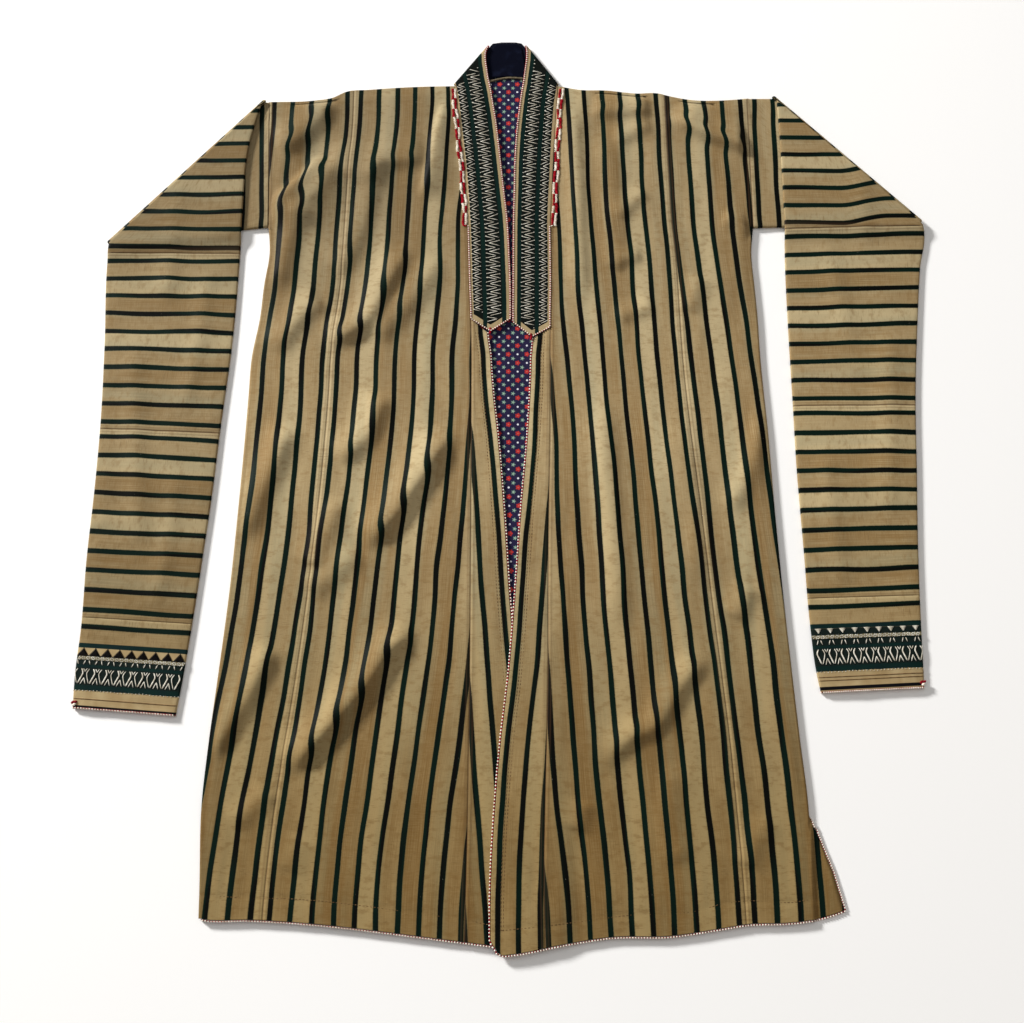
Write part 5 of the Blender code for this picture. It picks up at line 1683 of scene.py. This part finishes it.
def workCuff(word, sign):
    surface, look, top = cuffs[word], cuffPattern[word], cuffStart[word]
    paths, radii, uses, spots = [], [], [], []
    width = surface.width(top)

    def within(across, s):
        return min(max(across, 1.5), surface.width(top + s) - 1.5)

    def sew(points, radius, key=0):
        stops = [(top + s, within(across, s)) for across, s in points]
        paths.append(drawn(surface, stops, radius * 0.5, 2.0))
        radii.append(radius)
        uses.append(key)

    repeats = int(round((width - 4) / look["pitch"]))
    pitch = (width - 4) / repeats
    for number in range(repeats):
        middle = 2 + pitch * (number + 0.5) + wobble(number + (sign > 0) * 40, 0.5)
        if sign < 0:  # dark triangles, their points up
            for row in range(8):
                half = 7.4 * (row + 0.6) / 8
                sew(((middle - half, 6.3 + row * 1.25), (middle + half, 6.3 + row * 1.25)), 0.72, 1)
        else:  # small cream triangles, their points down
            for row in range(5):
                half = 3.7 * (1 - row / 5)
                sew(((middle - half, 5.6 + row * 1.15), (middle + half, 5.6 + row * 1.15)), 0.66)
        low, high = look["dashes"][1], look["dashes"][0]
        lean = 1.6 if sign > 0 else -1.6
        for hand in (-1, 1):
            foot, head = middle + hand * 3.2, middle + hand * (3.2 - lean)
            sew(((foot, low), (head, high)), 0.62)
        for thick, *stroke in latticeStrokes:
            points = [(middle + across * look["pitch"] / 15, look["lattice"] + down) for across,
                      down in stroke]
            if max(points)[0] < width - 2:
                sew(points, thick)
    for row in range(3):  # the twisted line
        for number in range(int((width - 4) / 1.9)):
            down = look["line"][0] + 1.1 + row * 1.35 + wobble(number + row * 60, 0.25)
            centre, up = surface.at(top + down, within(2 + number * 1.9 + row * 0.6, down), 0.3)
            spots.append((centre[0], (1.0, (-1) ** row * 0.9, 0.0), up[0], (1.15, 0.55, 0.5),
                          (number * 2 + row) % 3 % 2))
    for k in range(int(width / 4.2)):
        centre, up = surface.at(top + look["edge"] + wobble(k, 0.6), within(2 + k * 4.2, look["edge"]), 0.3)
        spots.append((centre[0], (1.0, 0.0, 0.0), up[0], (0.6, 0.6, 0.5), 0))
    for down in look["seam"]:
        sew(((1.0, down), (width - 1.0, down)), 0.45, 2)
    piece = threads(f"cuffWork{word}", paths, radii, ["cream", "dark", "sewing"], uses, squash=0.7)
    piece = stitches(f"cuffLine{word}", spots, ["cream", "paleGreen"])


def sewn(x, y, side, pitch=4.3):
    # running stitches along a line drawn on the laid front
    lengths = np.concatenate(([0], np.cumsum(np.hypot(np.diff(x), np.diff(y)))))
    at = np.arange(pitch / 2, lengths[-1], pitch)
    px, py = np.interp(at, lengths, x), np.interp(at, lengths, y)
    ahead = np.interp(at + 1, lengths, x) - px, np.interp(at + 1, lengths, y) - py
    z = frontHeight(px, py, side) - stitchedDip(px, py, side) + wall["cloth"] / 2 + 0.12
    return [((px[k], py[k], z[k]), (ahead[0][k] + 1e-6, ahead[1][k], 0.0), (0, 0, 1), (1.5, 0.42, 0.34), 0)
            for k in range(len(at))]


def sewFronts(word, side, sign):
    part, line = fronts[sign], hemStitching[sign]
    sideX = part["side"][int(len(levels) * .05), part["sideEdge"], 0]
    ends = np.sort((sideX - sign * 3, float(curve(side, "edge", -480)) + sign * 14))
    x = np.linspace(*ends, 160)
    spots = sewn(x, curve(line, "y", x, "x"), side)
    low, high = (-215.0, 236.0) if side is left else (-495.0, 230.0)
    y = np.linspace(low, high, 200)
    for away in frontStitching:
        spots += sewn(curve(side, "edge", y) + sign * away, y, side)
    piece = stitches(f"sewing{word}", spots, ["sewing"])


def pipeNeck():
    t = np.linspace(-34, 15, 40)
    arc = table("x y", (-34, 594), (-5, 600.4), (15, 599.6))
    path = np.stack((t, curve(arc, "y", t, "x"), np.full_like(t, level["lining"] + 1.7)), 1)
    piece = threads("neckPiping", [(path, np.tile((0.0, 0.0, 1.0), (40, 1)))], 1.5, ["piping"], squash=0.8,
                    sides=8)


for word, side, sign in (("Left", left, -1), ("Right", right, 1)):
    workCollar(word, sign)
    braidCollar(word, side, sign)
    braidFront(word, side, sign)
    braidCuff(word, sign)
    workCuff(word, sign)
    sewFronts(word, side, sign)
pipeNeck()
print("stage: embroidery, braid and sewing")


# Camera, floor and light

camera = dict(lens=51.7, sensor=36.0, place=(0.0, -496.0, 1731.0), target=(0.0, 0.0, 0.0))
lights = dict(
    key=dict(place=(-5.8, 4.5, 3.0), size=1.15, power=1090.0, colour=(1.0, 0.98, 0.95)),
    fill=dict(place=(1.5, -1.2, 2.6), size=2.5, power=10.0, colour=(1.0, 0.84, 0.66)),
    top=dict(place=(-0.4, 0.9, 3.0), size=2.0, power=14.0, colour=(1.0, 0.99, 0.97)),
)


def placeCamera():
    data = bpy.data.cameras.new("camera")
    data.lens, data.sensor_width = camera["lens"], camera["sensor"]
    made = bpy.data.objects.new("camera", data)
    bpy.context.scene.collection.objects.link(made)
    spot, target = (Vector(toFloor([camera[key]])[0]) for key in ("place", "target"))
    made.location = spot
    made.rotation_euler = (target - spot).to_track_quat("-Z", "Y").to_euler()
    bpy.context.scene.camera = made


def layFloor():
    bpy.ops.object.select_all(action="DESELECT")
    bpy.ops.mesh.primitive_grid_add(x_subdivisions=4, y_subdivisions=4, size=9.0, location=(0, 0, -0.0004))
    floor = bpy.context.object
    floor.name = "floor"
    made, tree, shader = newMaterial("pale floor", 0.85)
    shader.inputs["Base Color"].default_value = (0.98, 0.985, 0.99, 1.0)
    floor.data.materials.append(made)


def hangLights():
    for name, look in lights.items():
        data = bpy.data.lights.new(name, "AREA")
        data.shape, data.size, data.energy, data.color = "SQUARE", look["size"], look["power"], look["colour"]
        made = bpy.data.objects.new(name, data)
        made.location = look["place"]
        made.rotation_euler = (Vector((0, 0, 0)) - Vector(look["place"])).to_track_quat("-Z", "Y").to_euler()
        bpy.context.scene.collection.objects.link(made)
    world = bpy.data.worlds.new("soft studio")
    world.use_nodes = True
    world.node_tree.nodes["Background"].inputs["Color"].default_value = (1.0, 1.0, 1.0, 1.0)
    world.node_tree.nodes["Background"].inputs["Strength"].default_value = 0.22
    bpy.context.scene.world = world
    bpy.context.scene.view_settings.view_transform = "Standard"


placeCamera()
layFloor()
hangLights()
print("stage: camera, floor and light")
